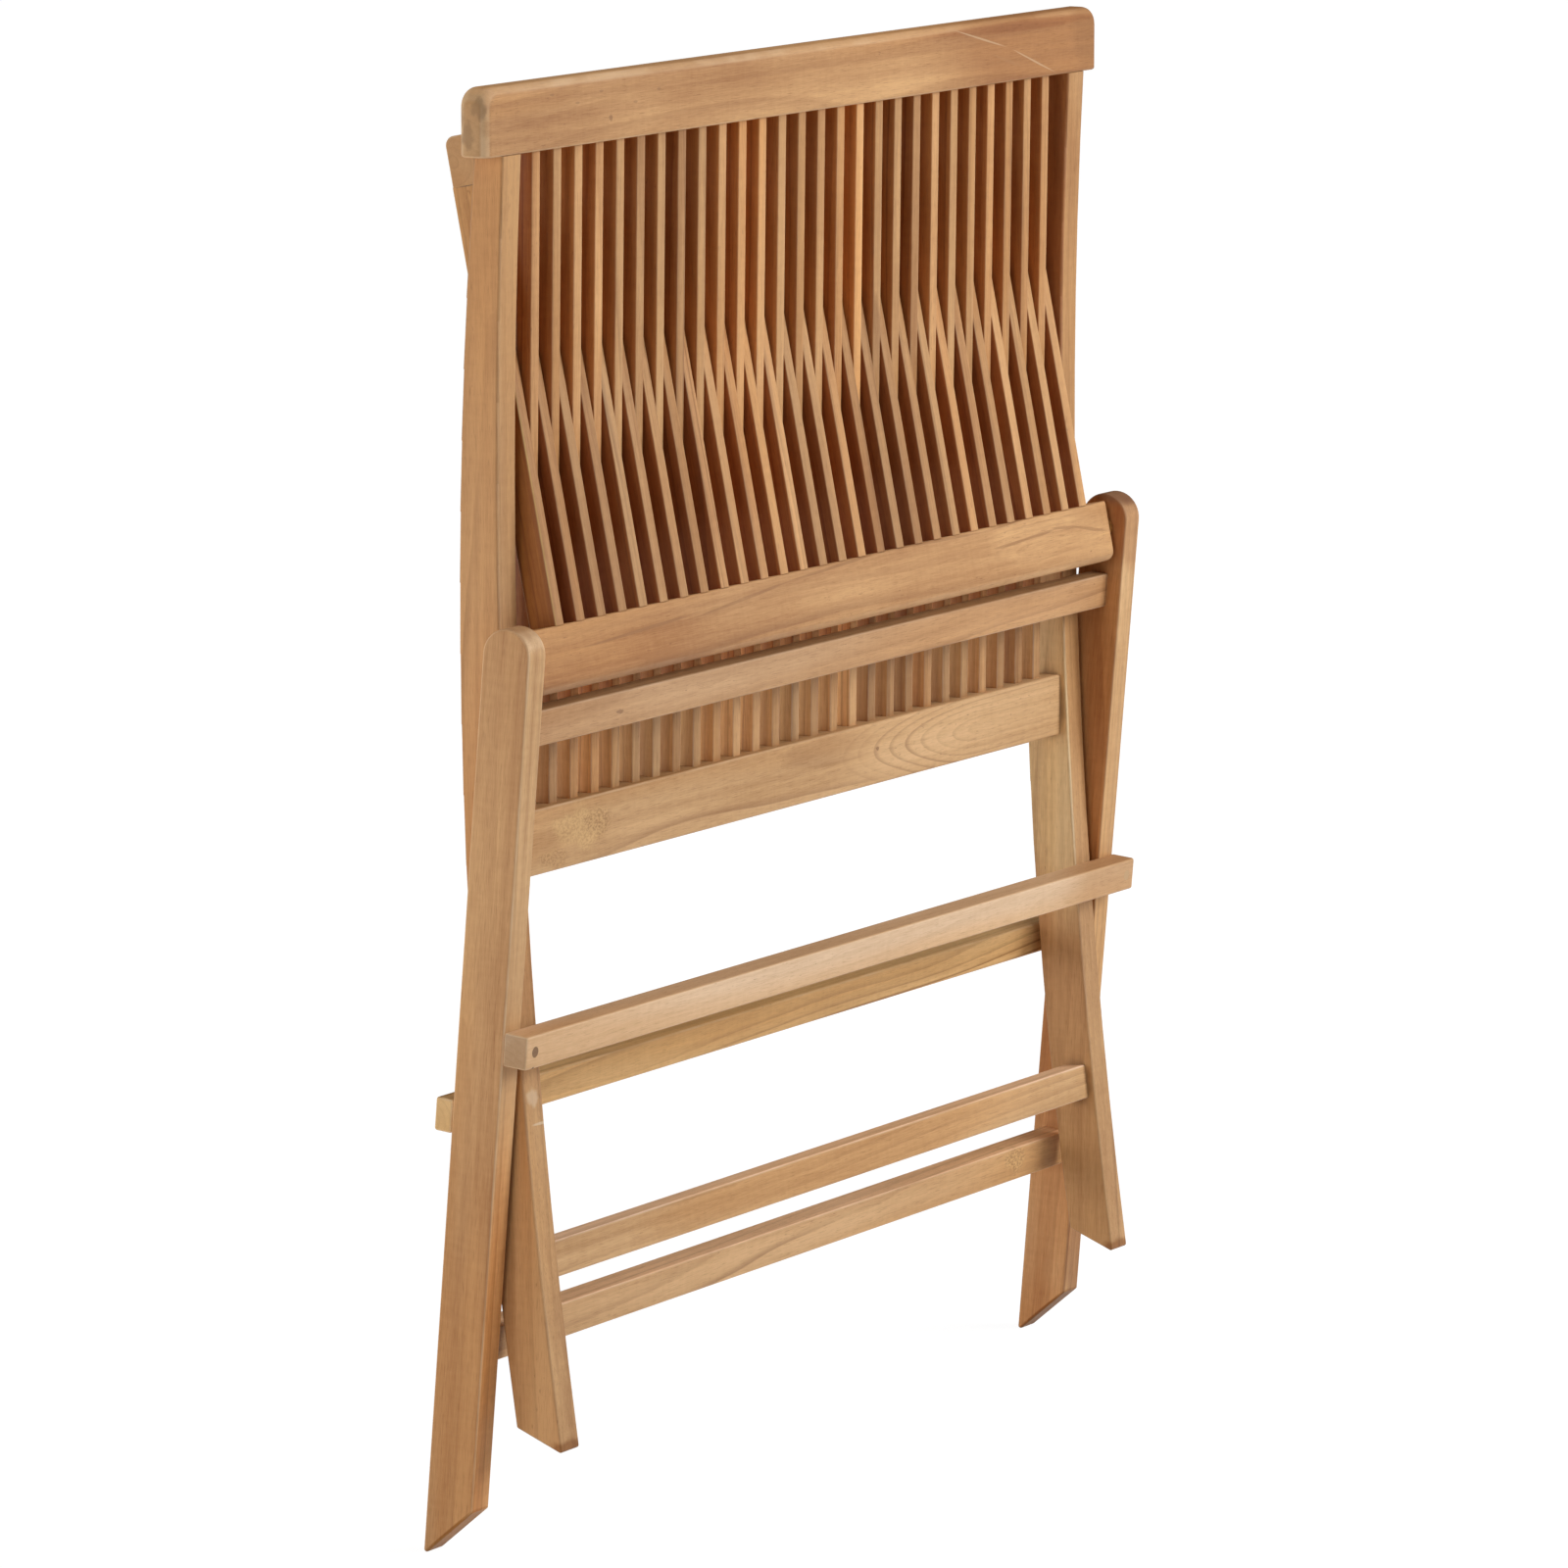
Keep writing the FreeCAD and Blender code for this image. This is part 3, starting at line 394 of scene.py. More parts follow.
for side, seed in (("left", 1.3), ("right", 4.1)):
    node = "stile_" + side
    post = teak("teak_" + node, seed, middle(node), UPRIGHT, (0.012, 0.055), (0.0, 0.02), 0.0085, 0.5,
                edge=(0.36, 0.20, 0.10), worn=0.5)
    dress(node, post)
    # Part the posts' own redder tone, part painted shade: their sides are deepened and reddened, their
    # fronts toned a little cooler.
    tint_faces(post, (1, 0, 0), (0.89, 0.82, 0.75))
    tint_faces(post, (0, 1, 0), (0.92, 0.95, 1.0))
    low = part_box(node)[0]
    shade(post, (middle(node).x, low.y, low.z), (0.03, 0.014, 0.010), (0.60, 0.46, 0.32), 0.8)
    if side == "left":
        # Pale rub and scratch where the stop bar meets the post.
        mark(post, (-0.397, -0.027, 0.333), (0.009, 0.02, 0.008), (0.72, 0.55, 0.37), 0.5)
        mark(post, (-0.390, -0.029, 0.3137), (0.012, 0.02, 0.0013), (0.74, 0.58, 0.40), 0.6, 0.5)
    else:
        # Inner side: painted light low down, painted shade behind the slats, dark round the joints of rail
        # and stretcher.
        inner = low.x
        shade(post, (inner, -0.010, 0.47), (0.003, 0.08, 0.15), (1.42, 1.85, 2.30), 0.5)
        shade(post, (inner, 0.0, 0.84), (0.003, 0.06, 0.24), (0.85, 0.68, 0.55))
        mark(post, (inner, 0.003, 0.510), (0.003, 0.019, 0.031), (0.16, 0.08, 0.035), 0.7, 0.5)
        mark(post, (inner, -0.023, 0.212), (0.003, 0.018, 0.021), (0.17, 0.09, 0.040), 0.6, 0.7)
        # A little more painted light near the foot.
        shade(post, (inner, -0.02, 0.12), (0.003, 0.08, 0.16), (1.07, 1.13, 1.14))

# Top rail: one heavy teak board with rounded-over top and ends that caps the stiles.
# The slats enter blind housings along its underside, and dowels hold it on the posts.
# Its right end is deeper in tone, with a streak under the round and two scratches.
cap = teak("teak_top_rail", 7.7, middle("top_rail"), None, (0.045, -0.05), (0.02, 0.05), 0.014, 0.25,
           end=(0.36, 0.21, 0.09))
dress("top_rail", cap)
rail_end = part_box("top_rail")[0].x
rail_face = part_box("top_rail")[0].y
# Deeper tone at the right end and under the round.
shade(cap, (0.47, rail_face, 1.028), (0.34, 0.08, 0.08), (0.70, 0.57, 0.46), 0.3)
shade(cap, (0.31, -0.008, 1.0455), (0.17, 0.02, 0.005), (0.80, 0.68, 0.58), 0.9)
shade(cap, (0.43, rail_face, 1.03), (0.05, 0.05, 0.04), (0.84, 0.82, 0.80), 0.8)
# A brown scuff, a pin knot and two scratches.
mark(cap, (0.2905, rail_face, 1.020), (0.031, 0.01, 0.0016), (0.40, 0.20, 0.08), 0.35, 0.8, (0, 0.262, 0))
mark(cap, (-0.2686, rail_face, 1.0199), (0.003, 0.01, 0.003), (0.24, 0.11, 0.05), 0.6)
for x, z, length, slope in ((0.250, 1.0396, 0.046, 0.225), (0.331, 1.0168, 0.039, 0.327)):
    mark(cap, (x, rail_face, z), (length, 0.01, 0.0009), (0.68, 0.50, 0.31), 0.45, 0.7, (0, slope, 0))
# Dark patches in the left end grain, and short flecks along the face.
for y, z in ((-0.006, 1.040), (0.004, 1.019), (0.012, 1.034)):
    mark(cap, (rail_end, y, z), (0.005, 0.007, 0.011), (0.25, 0.135, 0.055), 0.55, 1.4)
for x, z in ((-0.345, 1.042), (-0.312, 1.034), (-0.281, 1.040), (-0.236, 1.029), (-0.205, 1.036)):
    mark(cap, (x, rail_face, z), (0.0035, 0.01, 0.0012), (0.26, 0.13, 0.06), 0.45, 0.9)

# Lower back rail: teak board between the stiles with bold arched figure at its right.
# It is dowelled to the posts and carries the lower ends of the back slats and the rear
# of the opened seat. Near its left end the grain curls round a burl.
STRAW = {"light": (0.715, 0.450, 0.228), "dark": (0.455, 0.245, 0.098), "line": (0.24, 0.100, 0.036)}
SWIRL_SEED = 5.5
BOARD_FACE = -0.008
BURL_PALE = (0.72, 0.465, 0.210)
BURL_BROWN = (0.56, 0.330, 0.140)
BURL_DARK = (0.30, 0.145, 0.052)
KNOT = (0.20, 0.09, 0.04)


def swirl(material, place, size, heart, lean, stop, spacing, rings, colours=HONEY):
    """Where the saw cut through the heart: arched rings in one stretch of a board."""
    tree = material.node_tree
    position = tree.nodes["Mapping"].outputs[0]
    figure = draw_figure(tree, position, SWIRL_SEED, heart, lean, stop, spacing, rings, colours)
    mark(material, place, size, figure.outputs["Color"], 1.0, 0.6)


def burl(material, place, size, light, dark):
    """A patch of curled grain with ragged dark flecks."""
    tree = material.node_tree
    curl = grain_noise(tree, tree.nodes["Mapping"].outputs[0], 360.0, 560.0, 3.0, 0.65)
    mark(material, place, size, blend_colour(tree, band(tree, curl, 0.40, 0.64), light, dark), 0.6, 1.6)


board = teak("teak_lower_rail", 2.9, middle("lower_back_rail"), None, (0.05, 0.01), (0.0, 0.012),
             colours=STRAW)
dress("lower_back_rail", board)
swirl(board, (0.27, BOARD_FACE, 0.510), (0.25, 0.06, 0.06), (0.0440, -0.004), (-0.20, 0.0), 0.270,
      0.0046, 0.70, STRAW)
burl(board, (-0.303, BOARD_FACE, 0.512), (0.042, 0.02, 0.019), BURL_PALE, (0.52, 0.300, 0.120))
burl(board, (-0.280, BOARD_FACE, 0.513), (0.022, 0.02, 0.013), BURL_BROWN, BURL_DARK)
burl(board, (-0.338, BOARD_FACE, 0.495), (0.024, 0.02, 0.009), BURL_BROWN, (0.34, 0.165, 0.062))
# A pin knot near the middle.
mark(board, (0.1082, BOARD_FACE, 0.5133), (0.003, 0.01, 0.002), KNOT, 0.7)

# Front stretcher: square teak stick low between the front legs, dowelled into both.
# It keeps the feet apart. Its top is tinted paler than its front.
stick = teak("teak_front_stretcher", 5.2, middle("front_stretcher"), None, (0.03, 0.05), (0.0, 0.03), 0.008,
             colours=STRAW)
dress("front_stretcher", stick)
tint_faces(stick, (0, 0, 1), (1.34, 1.46, 1.90))

# Back slats: slim square teak sticks at an even pitch, each let into both rails.
# Every stick comes from another board, so tone and grain differ from one to the next.
SLAT_PITCH = 0.0275
BACK_SLATS = 27
BACK_SLAT_WIDE = 0.0105
BACK_SLAT_DEEP = 0.013
BACK_SLAT_LEAN = math.radians(0.71)
EASED = 0.0012


def make_stick_row():
    """Row of like sticks along X, each a square section with eased edges drawn along Z."""
    tree = bpy.data.node_groups.new("stick_row", "GeometryNodeTree")
    for label, kind in (("Count", "Int"), ("Pitch", "Float"), ("Wide", "Float"), ("Deep", "Float"),
                        ("Long", "Float"), ("Edge", "Float"), ("Place", "Vector"), ("Turn", "Vector"),
                        ("Seed", "Int"), ("Wood", "Material")):
        tree.interface.new_socket(label, in_out="INPUT", socket_type="NodeSocket" + kind)
    tree.interface.new_socket("Sticks", in_out="OUTPUT", socket_type="NodeSocketGeometry")
    given = tree.nodes.new("NodeGroupInput").outputs
    result = tree.nodes.new("NodeGroupOutput").inputs

    def step(kind, links=(), **values):
        node = tree.nodes.new(kind)
        for name, value in values.items():
            setattr(node, name, value)
        for socket, source in links:
            tree.links.new(source, node.inputs[socket])
        return node

    section = step("GeometryNodeCurvePrimitiveQuadrilateral",
                   (("Width", given["Wide"]), ("Height", given["Deep"])))
    rounded = step("GeometryNodeFilletCurve", ((0, section.outputs[0]), ("Radius", given["Edge"])),
                   mode="POLY")
    rounded.inputs["Count"].default_value = 3
    tip = step("ShaderNodeCombineXYZ", (("Z", given["Long"]),))
    line = step("GeometryNodeCurvePrimitiveLine", (("End", tip.outputs[0]),))
    stick = step("GeometryNodeCurveToMesh", ((0, line.outputs[0]), (1, rounded.outputs[0])))
    stick.inputs["Fill Caps"].default_value = True
    span = step("ShaderNodeMath", ((0, given["Count"]),), operation="SUBTRACT")
    span.inputs[1].default_value = 1.0
    width = step("ShaderNodeMath", ((0, span.outputs[0]), (1, given["Pitch"])), operation="MULTIPLY")
    left = step("ShaderNodeMath", ((0, width.outputs[0]),), operation="MULTIPLY")
    left.inputs[1].default_value = -0.5
    first = step("ShaderNodeCombineXYZ", (("X", left.outputs[0]),))
    apart = step("ShaderNodeCombineXYZ", (("X", given["Pitch"]),))
    row = step("GeometryNodeMeshLine", (("Count", given["Count"]), ("Start Location", first.outputs[0]),
                                        ("Offset", apart.outputs[0])))
    sticks = step("GeometryNodeInstanceOnPoints", ((0, row.outputs[0]), ("Instance", stick.outputs[0])))
    flow = sticks.outputs[0]
    for name, low, high, salt in (("stick_number", 0.0, 1.0, 0), ("stick_heart", -0.05, 0.05, 1),
                                  ("stick_tone", 0.80, 1.12, 2)):
        chance = step("FunctionNodeRandomValue", data_type="FLOAT")
        chance.inputs[2].default_value = low
        chance.inputs[3].default_value = high
        salted = step("ShaderNodeMath", ((0, given["Seed"]),), operation="ADD")
        salted.inputs[1].default_value = float(salt)
        tree.links.new(salted.outputs[0], chance.inputs["Seed"])
        keep = step("GeometryNodeStoreNamedAttribute", ((0, flow),), data_type="FLOAT", domain="INSTANCE")
        keep.inputs["Name"].default_value = name
        tree.links.new(chance.outputs[1], keep.inputs["Value"])
        flow = keep.outputs[0]
    solid = step("GeometryNodeRealizeInstances", ((0, flow),))
    placed = step("GeometryNodeTransform", ((0, solid.outputs[0]), ("Translation", given["Place"]),
                                            ("Rotation", given["Turn"])))
    finish = step("GeometryNodeSetMaterial", ((0, placed.outputs[0]), ("Material", given["Wood"])))
    tree.links.new(finish.outputs[0], result[0])
    return tree


STICK_ROW = make_stick_row()


def grow(name, tree, values):
    """Evaluate a geometry tree once and keep the result as a plain mesh piece."""
    seedling = bpy.data.objects.new(name, bpy.data.meshes.new(name + "_start"))
    bpy.context.scene.collection.objects.link(seedling)
    modifier = seedling.modifiers.new("grow", "NODES")
    modifier.node_group = tree
    for item in tree.interface.items_tree:
        if item.item_type == "SOCKET" and item.in_out == "INPUT":
            modifier[item.identifier] = values[item.name]
    bpy.context.view_layer.update()
    grown = seedling.evaluated_get(bpy.context.evaluated_depsgraph_get())
    mesh = bpy.data.meshes.new_from_object(grown)
    seedling.modifiers.clear()
    seedling.data = mesh
    return seedling


low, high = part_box("back_slats_01")
lean = Matrix.Rotation(BACK_SLAT_LEAN, 3, "X")
slat_long = (high.z - low.z - BACK_SLAT_DEEP * math.sin(BACK_SLAT_LEAN)) / math.cos(BACK_SLAT_LEAN)
slat_foot = Vector((0, high.y - BACK_SLAT_DEEP / 2, low.z))
slat_wood = teak("teak_back_slats", 9.0, slat_foot, lean @ UPRIGHT, (0.02, 0.0), (0.0, 0.02), 0.006,
                 worn=0.15, flank_shade=(0.94, 0.64, 0.38))
back_slats = grow("back_slats", STICK_ROW, {
    "Count": BACK_SLATS, "Pitch": SLAT_PITCH, "Wide": BACK_SLAT_WIDE, "Deep": BACK_SLAT_DEEP,
    "Long": slat_long, "Edge": EASED, "Place": slat_foot, "Turn": lean.to_euler(), "Seed": 11,
    "Wood": slat_wood})
# Painted light on the slat fronts.
tint_faces(slat_wood, (0, 1, 0), (1.12, 1.11, 1.09))
# Low down: painted light on the flanks and painted shadow of the seat and stretcher on the fronts.
for tone, facing in (((1.24, 1.70, 2.45), (1, 0, 0)), ((0.88, 0.92, 0.97), (0, 1, 0))):
    shade(slat_wood, (0, 0.01, 0.545), (1.5, 0.2, 0.055), tone, 0.1, facing=facing)
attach(back_slats, "back_frame")
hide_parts(*[name for name in nodes if name.startswith("back_slats_")])

# Rear legs: straight teak boards outside the stiles, round at the top where the seat
# pivots, and cut on the slope at the foot. A blind pin to each stile is their hinge.
# The cut soles are dark end grain, and the front edges are browner near the floor.
LEG_LEAN = Matrix.Rotation(math.radians(4.77), 3, "X")
LEG_FRONT = LEG_LEAN @ Vector((0, 1, 0))
SOLE_SLOPE = (math.radians(-40.5), 0, 0)
for side, seed, edge, worn in (("left", 3.4, PALE_EDGE_WEAR_AND_HIGHLIGHT, 0.3), ("right", 6.6, (0.30, 0.16, 0.08), 0.5)):
    node = "rear_leg_" + side
    board = teak("teak_" + node, seed, middle(node), LEG_LEAN @ UPRIGHT, (0.01, 0.06), (0.0, 0.015),
                 0.008, 0.5, edge=edge, worn=worn)
    dress(node, board)
    tint_faces(board, LEG_FRONT, (1.20, 1.36, 1.56))
    leg_x = middle(node).x
    shade(board, (leg_x, 0.0231, 0.0155), (0.04, 0.04, 0.003), (0.59, 0.42, 0.165), 0.4, SOLE_SLOPE)
    if side == "left":
        shade(board, (leg_x, -0.01, 0.0), (0.03, 0.12, 0.40), (1.09, 0.87, 0.66), 0.3, facing=LEG_FRONT)
    else:
        # Painted shade on the sides and over the round top, and near the floor a browner front edge and
        # painted light on the inner side.
        tint_faces(board, (1, 0, 0), (1.05, 0.88, 0.72))
        mark(board, (leg_x, -0.034, 0.678), (0.03, 0.030, 0.016), (0.21, 0.098, 0.048), 0.75, 0.6)
        shade(board, (leg_x, -0.05, 0.645), (0.03, 0.03, 0.04), (0.80, 0.70, 0.64), 0.5)
        for tone, facing in (((0.64, 0.54, 0.48), LEG_FRONT), ((1.16, 1.38, 1.78), (1, 0, 0))):
            shade(board, (leg_x, -0.01, 0.10), (0.03, 0.08, 0.12), tone, 0.5, facing=facing)

# Stretchers of the rear legs: two teak sticks dowelled between them, one under the seat
# front and one near the floor. The upper one has a knot and a crack, the lower one a
# curl in its grain, and their tops differ in tone from their fronts: the upper top carries painted
# shade from the seat rail, the lower top is tinted paler.
LEG_TOP = LEG_LEAN @ Vector((0, 0, 1))
for node, seed in (("upper_stretcher", 8.3), ("rear_stretcher", 2.2)):
    stick = teak("teak_" + node, seed, middle(node), LEG_LEAN, (0.03, 0.02), (0.02, 0.03), 0.008,
                 colours=STRAW)
    dress(node, stick)
    if node == "upper_stretcher":
        tint_faces(stick, LEG_FRONT, (0.89, 0.86, 0.90))
        # Painted shadow of the seat rail over the top.
        tint_faces(stick, LEG_TOP, (0.66, 0.62, 0.60))
        mark(stick, (-0.2901, -0.0329, 0.5972), (0.006, 0.01, 0.002), KNOT, 0.6)
        mark(stick, (0.3065, -0.0342, 0.6129), (0.014, 0.01, 0.0008), (0.24, 0.11, 0.05), 0.6, 0.5)
    else:
        tint_faces(stick, LEG_TOP, (1.40, 1.50, 1.80))
        burl(stick, (0.333, 0.001, 0.155), (0.020, 0.02, 0.013), BURL_PALE, BURL_DARK)

# Stop bars: teak sticks screwed across the legs' edges, one in front above the pivot and
# one behind below it. They meet the posts when the seat is opened. A small dark hole is
# left at the front bar's left end.
AMBER = {"light": (0.82, 0.53, 0.240), "dark": (0.50, 0.27, 0.095), "line": (0.30, 0.130, 0.038)}
HOLE = (0.05, 0.025, 0.012)
PALE_STRAW = {"light": (0.85, 0.62, 0.420), "dark": (0.62, 0.40, 0.225), "line": (0.34, 0.17, 0.075)}
for node, seed, heart, rings, colours, end in (
        ("front_stop_bar", 1.9, (0.012, -0.014), 0.3, PALE_STRAW, (0.17, 0.085, 0.035)),
        ("rear_stop_bar", 5.8, (0.010, 0.006), 1.0, AMBER, (0.60, 0.36, 0.150))):
    bar = teak("teak_" + node, seed, middle(node), LEG_LEAN, heart, (0.0, 0.03), 0.005, rings, colours, end)
    dress(node, bar)
    if node == "front_stop_bar":
        tint_faces(bar, LEG_TOP, (0.78, 0.68, 0.58))
        shade(bar, (0.46, -0.05, 0.366), (0.16, 0.06, 0.06), (0.80, 0.69, 0.56), 0.2)
        mark(bar, (-0.4243, -0.0455, 0.3607), (0.0017, 0.01, 0.0017), HOLE, 0.9, 0.3)

# Plugs: teak discs glued over the screws of the stop bars and sanded flush.
# They show end grain, so they are darker than the bar, apart from the pale front right one.
PLUG_WOOD = {"light": (0.30, 0.17, 0.085), "dark": (0.20, 0.105, 0.05), "line": (0.12, 0.05, 0.02)}
plugs = teak("teak_plugs", 0.4, middle("stop_bar_plugs"), None, (0.4, 0.0), (0.0, 0.0), 0.0015,
             colours=PLUG_WOOD)
dress("stop_bar_plugs", plugs)
mark(plugs, (0.4233, -0.0466, 0.3733), (0.02, 0.02, 0.02), (0.60, 0.385, 0.205), 0.85, 0.5)

# Seat front rail: broad teak board between the rear leg tops, rounded at the front.
# Pins in its ends are the seat's hinge, and the seat slats are let into its rear edge.
# Long brown lines of late wood run along its face, arched near the right end.
SEAT_LEAN = Matrix.Rotation(math.radians(-11.6), 3, "X")
rail = teak("teak_seat_front", 4.4, middle("seat_front_rail"), SEAT_LEAN, (0.05, 0.035), (0.0, 0.014),
            0.012, 0.8, worn=0.12)
dress("seat_front_rail", rail)
swirl(rail, (0.30, -0.038, 0.656), (0.09, 0.04, 0.03), (0.034, -0.004), (-0.15, 0.0), 0.32, 0.005, 0.7)
for x, z, length, slope in (
        (-0.27, 0.654, 0.09, -0.04), (-0.13, 0.659, 0.08, -0.08), (0.0, 0.667, 0.08, -0.05),
        (0.14, 0.669, 0.09, 0.02), (0.29, 0.671, 0.09, -0.05), (0.254, 0.654, 0.030, -0.04),
        (0.297, 0.656, 0.032, -0.056), (0.337, 0.657, 0.024, 0.072), (0.375, 0.652, 0.030, 0.17)):
    mark(rail, (x, -0.04, z), (length, 0.02, 0.0017), (0.27, 0.12, 0.046), 0.5, 0.9, (0, slope, 0))

# Seat rear rail: teak board behind the back that joins the rear ends of the seat slats,
# which are let into it. It stays behind the back slats as the seat turns.
dress("seat_rear_rail", teak("teak_seat_rear", 6.1, middle("seat_rear_rail"), SEAT_LEAN,
                             (0.004, 0.01), (0.0, 0.03), 0.006, end=(0.40, 0.21, 0.08)))

# Seat slats: deeper teak sticks that pass between the back slats as the seat folds.
# They are let into both seat rails. The outermost two are the seat's sides, and the left
# one shows a dark joint line at its rear end and painted light on its outer face.
SEAT_SLATS = BACK_SLATS + 1
SEAT_SLAT_WIDE = 0.011
SEAT_DEEP = 0.023
SEAT_SLAT_LONG = 0.3166
LEFT_FACE = -0.377
seat_foot = middle("seat_side_left") - SEAT_LEAN @ Vector((0, 0, SEAT_SLAT_LONG / 2))
seat_foot.x = 0.0
seat_wood = teak("teak_seat_slats", 12.0, seat_foot, SEAT_LEAN @ UPRIGHT, (0.02, 0.0), (0.0, 0.02), 0.006,
                 worn=0.15, flank_shade=(0.64, 0.365, 0.195))
seat_slats = grow("seat_slats", STICK_ROW, {
    "Count": SEAT_SLATS, "Pitch": SLAT_PITCH, "Wide": SEAT_SLAT_WIDE, "Deep": SEAT_DEEP,
    "Long": SEAT_SLAT_LONG, "Edge": EASED, "Place": seat_foot, "Turn": SEAT_LEAN.to_euler(), "Seed": 29,
    "Wood": seat_wood})
tint_faces(seat_wood, SEAT_LEAN @ Vector((0, 1, 0)), (1.0, 0.98, 0.96))
side_top = middle("seat_side_left") + SEAT_LEAN @ Vector((0, 0, SEAT_SLAT_LONG / 2))
mark(seat_wood, side_top, (0.01, 0.014, 0.0014), HOLE, 0.85, 0.8, SEAT_LEAN.to_euler())
# Painted light on the outer face of the left side.
shade(seat_wood, (LEFT_FACE, -0.012, 0.73), (0.003, 0.06, 0.17), (1.14, 1.34, 1.14))
shade(seat_wood, (LEFT_FACE, 0.045, 0.97), (0.003, 0.04, 0.11), (1.5, 2.4, 3.5))
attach(seat_slats, "seat")
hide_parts("seat_side_left", "seat_side_right",
            *[name for name in nodes if name.startswith("seat_slats_")])

# Dowels: pale beech pegs glued into the rails, stretchers, stiles and legs.
# They are out of sight when the joints are closed.
BEECH = {"light": (0.70, 0.53, 0.34), "dark": (0.58, 0.41, 0.24), "line": (0.42, 0.27, 0.14)}
for node, seed in (("back_frame_dowels", 0.7), ("top_rail_dowels", 1.1), ("leg_frame_dowels", 2.6)):
    run = UPRIGHT if node == "top_rail_dowels" else None
    dress(node, teak("beech_" + node, seed, middle(node), run, (0.02, 0.03), (0.0, 0.0), 0.003, 0.4, BEECH))


# Pivot pins and screws: turned steel rod in the legs, stiles and seat rail, and countersunk
# steel screws under the plugs. The cutter has left fine rings round them.
def metal(name, bright, dull, along, across, roughness):
    """Bare metal with fine tool marks and a dull bloom."""
    material = bpy.data.materials.new(name)
    material.use_nodes = True
    tree = material.node_tree
    shader = tree.nodes["Principled BSDF"]
    position = tree.nodes.new("ShaderNodeTexCoord").outputs["Object"]
    marks = grain_noise(tree, position, along, across, 2.0)
    bloom = band(tree, grain_noise(tree, position, 160.0, 160.0, 3.0), 0.40, 0.66)
    tree.links.new(blend_colour(tree, bloom, bright, dull), shader.inputs["Base Color"])
    worn = calc(tree, "MULTIPLY_ADD", marks, 0.22, roughness - 0.11)
    tree.links.new(calc(tree, "MULTIPLY_ADD", bloom, 0.12, worn), shader.inputs["Roughness"])
    bump = tree.nodes.new("ShaderNodeBump")
    bump.inputs["Strength"].default_value = 0.25
    bump.inputs["Distance"].default_value = 0.0002
    tree.links.new(marks, bump.inputs["Height"])
    tree.links.new(bump.outputs[0], shader.inputs["Normal"])
    shader.inputs["Metallic"].default_value = 1.0
    return material


TURNED_STEEL = metal("turned_steel", (0.62, 0.62, 0.60), (0.42, 0.41, 0.39), 1800.0, 90.0, 0.32)
for node in ("leg_pivot_pins", "seat_pivot_pins", "stop_bar_screws"):
    dress(node, TURNED_STEEL)

# Washers: brass rings stamped from sheet and slipped over the pivot pins.
# They keep the wood faces apart as the legs and the seat turn.
STAMPED_BRASS = metal("stamped_brass", (0.74, 0.56, 0.27), (0.47, 0.33, 0.15), 120.0, 700.0, 0.38)
for node in ("leg_pivot_washers", "seat_pivot_washers"):
    dress(node, STAMPED_BRASS)

# Floor: wide plain white studio paper that takes only a faint shadow.
# The camera sees it almost pure white, a little deeper near the seat, while to the wood
# it is an ordinary pale floor that throws light back up.
FLOOR_REACH = 60.0
GLOW_NEAR = 0.94
GLOW_FAR = 1.0
floor_mesh = bpy.data.meshes.new("floor")
corners = [(x, y, 0) for x, y in ((-1, -1), (1, -1), (1, 1), (-1, 1))]
floor_mesh.from_pydata([Vector(c) * FLOOR_REACH for c in corners], [], [(0, 1, 2, 3)])
floor = bpy.data.objects.new("floor", floor_mesh)
bpy.context.scene.collection.objects.link(floor)
paper = bpy.data.materials.new("white_floor")
paper.use_nodes = True
tree = paper.node_tree
tree.nodes.clear()
path = tree.nodes.new("ShaderNodeLightPath")
seen = calc(tree, "MAXIMUM", path.outputs["Is Camera Ray"], path.outputs["Is Glossy Ray"])
seen = calc(tree, "MAXIMUM", seen, path.outputs["Is Transmission Ray"])
bounce = tree.nodes.new("ShaderNodeBsdfDiffuse")
bounce.inputs["Color"].default_value = (0.8, 0.8, 0.8, 1)
shadow = tree.nodes.new("ShaderNodeBsdfDiffuse")
shadow.inputs["Color"].default_value = (0.15, 0.15, 0.15, 1)
glow = tree.nodes.new("ShaderNodeEmission")
spread = tree.nodes.new("ShaderNodeVectorMath")
spread.operation = "LENGTH"
tree.links.new(tree.nodes.new("ShaderNodeTexCoord").outputs["Object"], spread.inputs[0])
tree.links.new(band(tree, spread.outputs["Value"], 0.8, 2.2, GLOW_NEAR, GLOW_FAR), glow.inputs["Strength"])
both = tree.nodes.new("ShaderNodeAddShader")
tree.links.new(shadow.outputs[0], both.inputs[0])
tree.links.new(glow.outputs[0], both.inputs[1])
choose = tree.nodes.new("ShaderNodeMixShader")
tree.links.new(seen, choose.inputs[0])
tree.links.new(bounce.outputs[0], choose.inputs[1])
tree.links.new(both.outputs[0], choose.inputs[2])
surface = tree.nodes.new("ShaderNodeOutputMaterial")
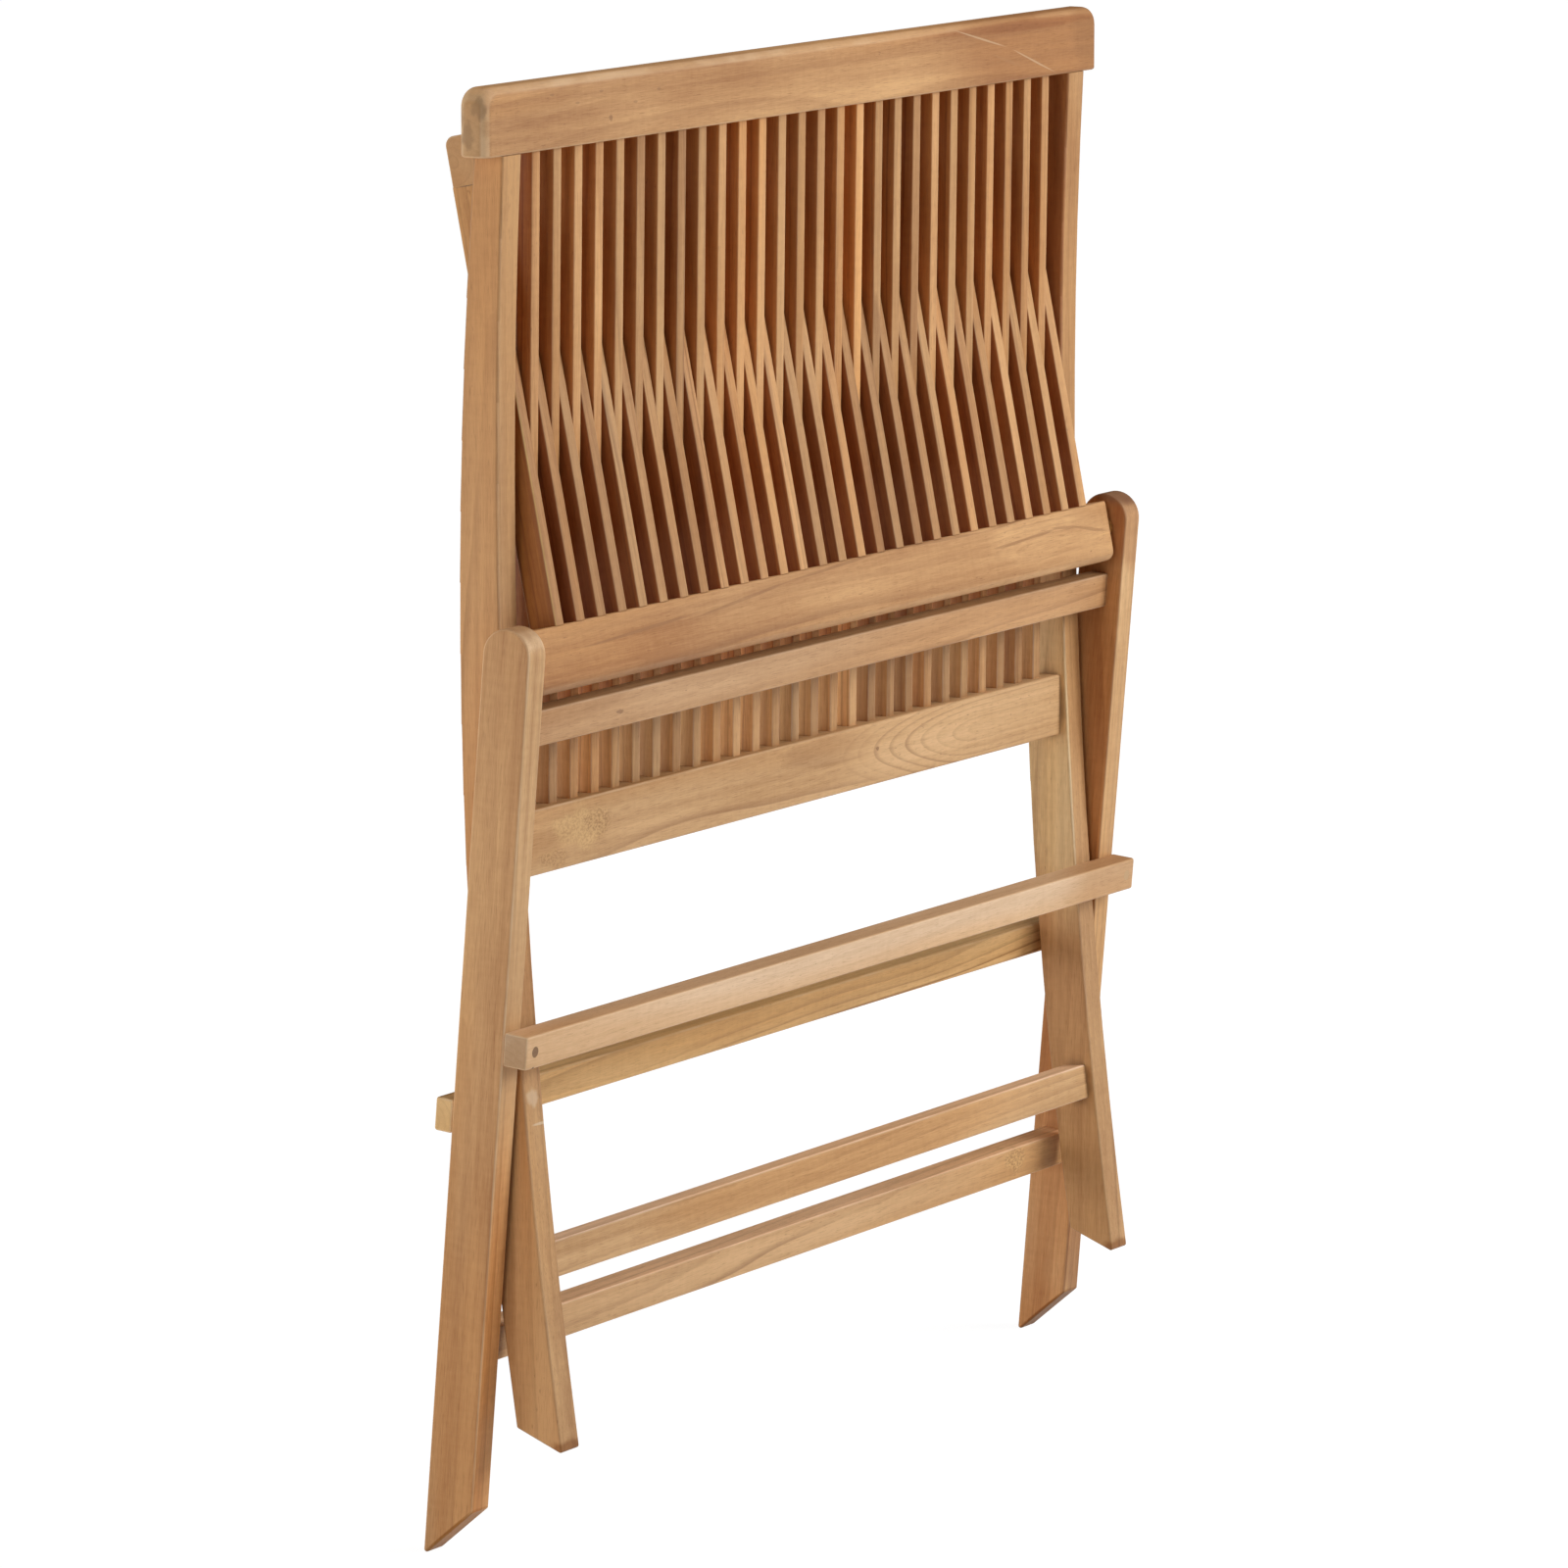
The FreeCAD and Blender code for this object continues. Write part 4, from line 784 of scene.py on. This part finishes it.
tree.links.new(choose.outputs[0], surface.inputs[0])
floor_mesh.materials.append(paper)

# Studio light: a white room that the camera sees bright but that adds little light.
# Large soft panels do the lighting: a strong one at the front right, weaker ones at the
# left, behind and above, all turned to the middle of the seat.
world = bpy.data.worlds.new("studio")
bpy.context.scene.world = world
world.use_nodes = True
tree = world.node_tree
room = tree.nodes["Background"]
room.inputs["Color"].default_value = (1, 1, 1, 1)
seen = tree.nodes.new("ShaderNodeLightPath").outputs["Is Camera Ray"]
ROOM_FILL = 0.07
tree.links.new(calc(tree, "MULTIPLY_ADD", seen, 1.0 - ROOM_FILL, ROOM_FILL), room.inputs["Strength"])
AIM = Vector((0, 0, 0.55))
for name, place, size, power in (
        ("front_panel", (1.9, -3.4, 2.3), 2.4, 138), ("left_panel", (-4.0, 0.1, 1.3), 2.4, 57),
        ("rear_panel", (-2.4, 3.2, 1.0), 2.0, 52), ("top_panel", (0.3, -0.8, 4.0), 2.6, 46)):
    panel = bpy.data.lights.new(name, "AREA")
    panel.size = size
    panel.energy = power
    lamp = bpy.data.objects.new(name, panel)
    lamp.location = place
    lamp.rotation_euler = (AIM - Vector(place)).to_track_quat("-Z", "Y").to_euler()
    bpy.context.scene.collection.objects.link(lamp)

# Camera: far to the front left with a long lens, some 0.6 m above the top rail, and
# turned down so that the whole folded seat fills the picture's height.
lens = bpy.data.cameras.new("camera")
lens.lens = 208.35
lens.sensor_width = 36.0
lens.clip_end = 200
camera = bpy.data.objects.new("camera", lens)
camera.location = (-5.6849, -3.5018, 1.6124)
CAMERA_AZIMUTH = math.radians(58.307)
CAMERA_DIP = math.radians(9.452)
CAMERA_ROLL = math.radians(0.037)
camera.rotation_euler = (Euler((math.pi / 2 - CAMERA_DIP, 0, -CAMERA_AZIMUTH)).to_matrix()
                         @ Matrix.Rotation(CAMERA_ROLL, 3, "Z")).to_euler()
bpy.context.scene.collection.objects.link(camera)
bpy.context.scene.camera = camera
bpy.context.scene.view_settings.view_transform = "Standard"
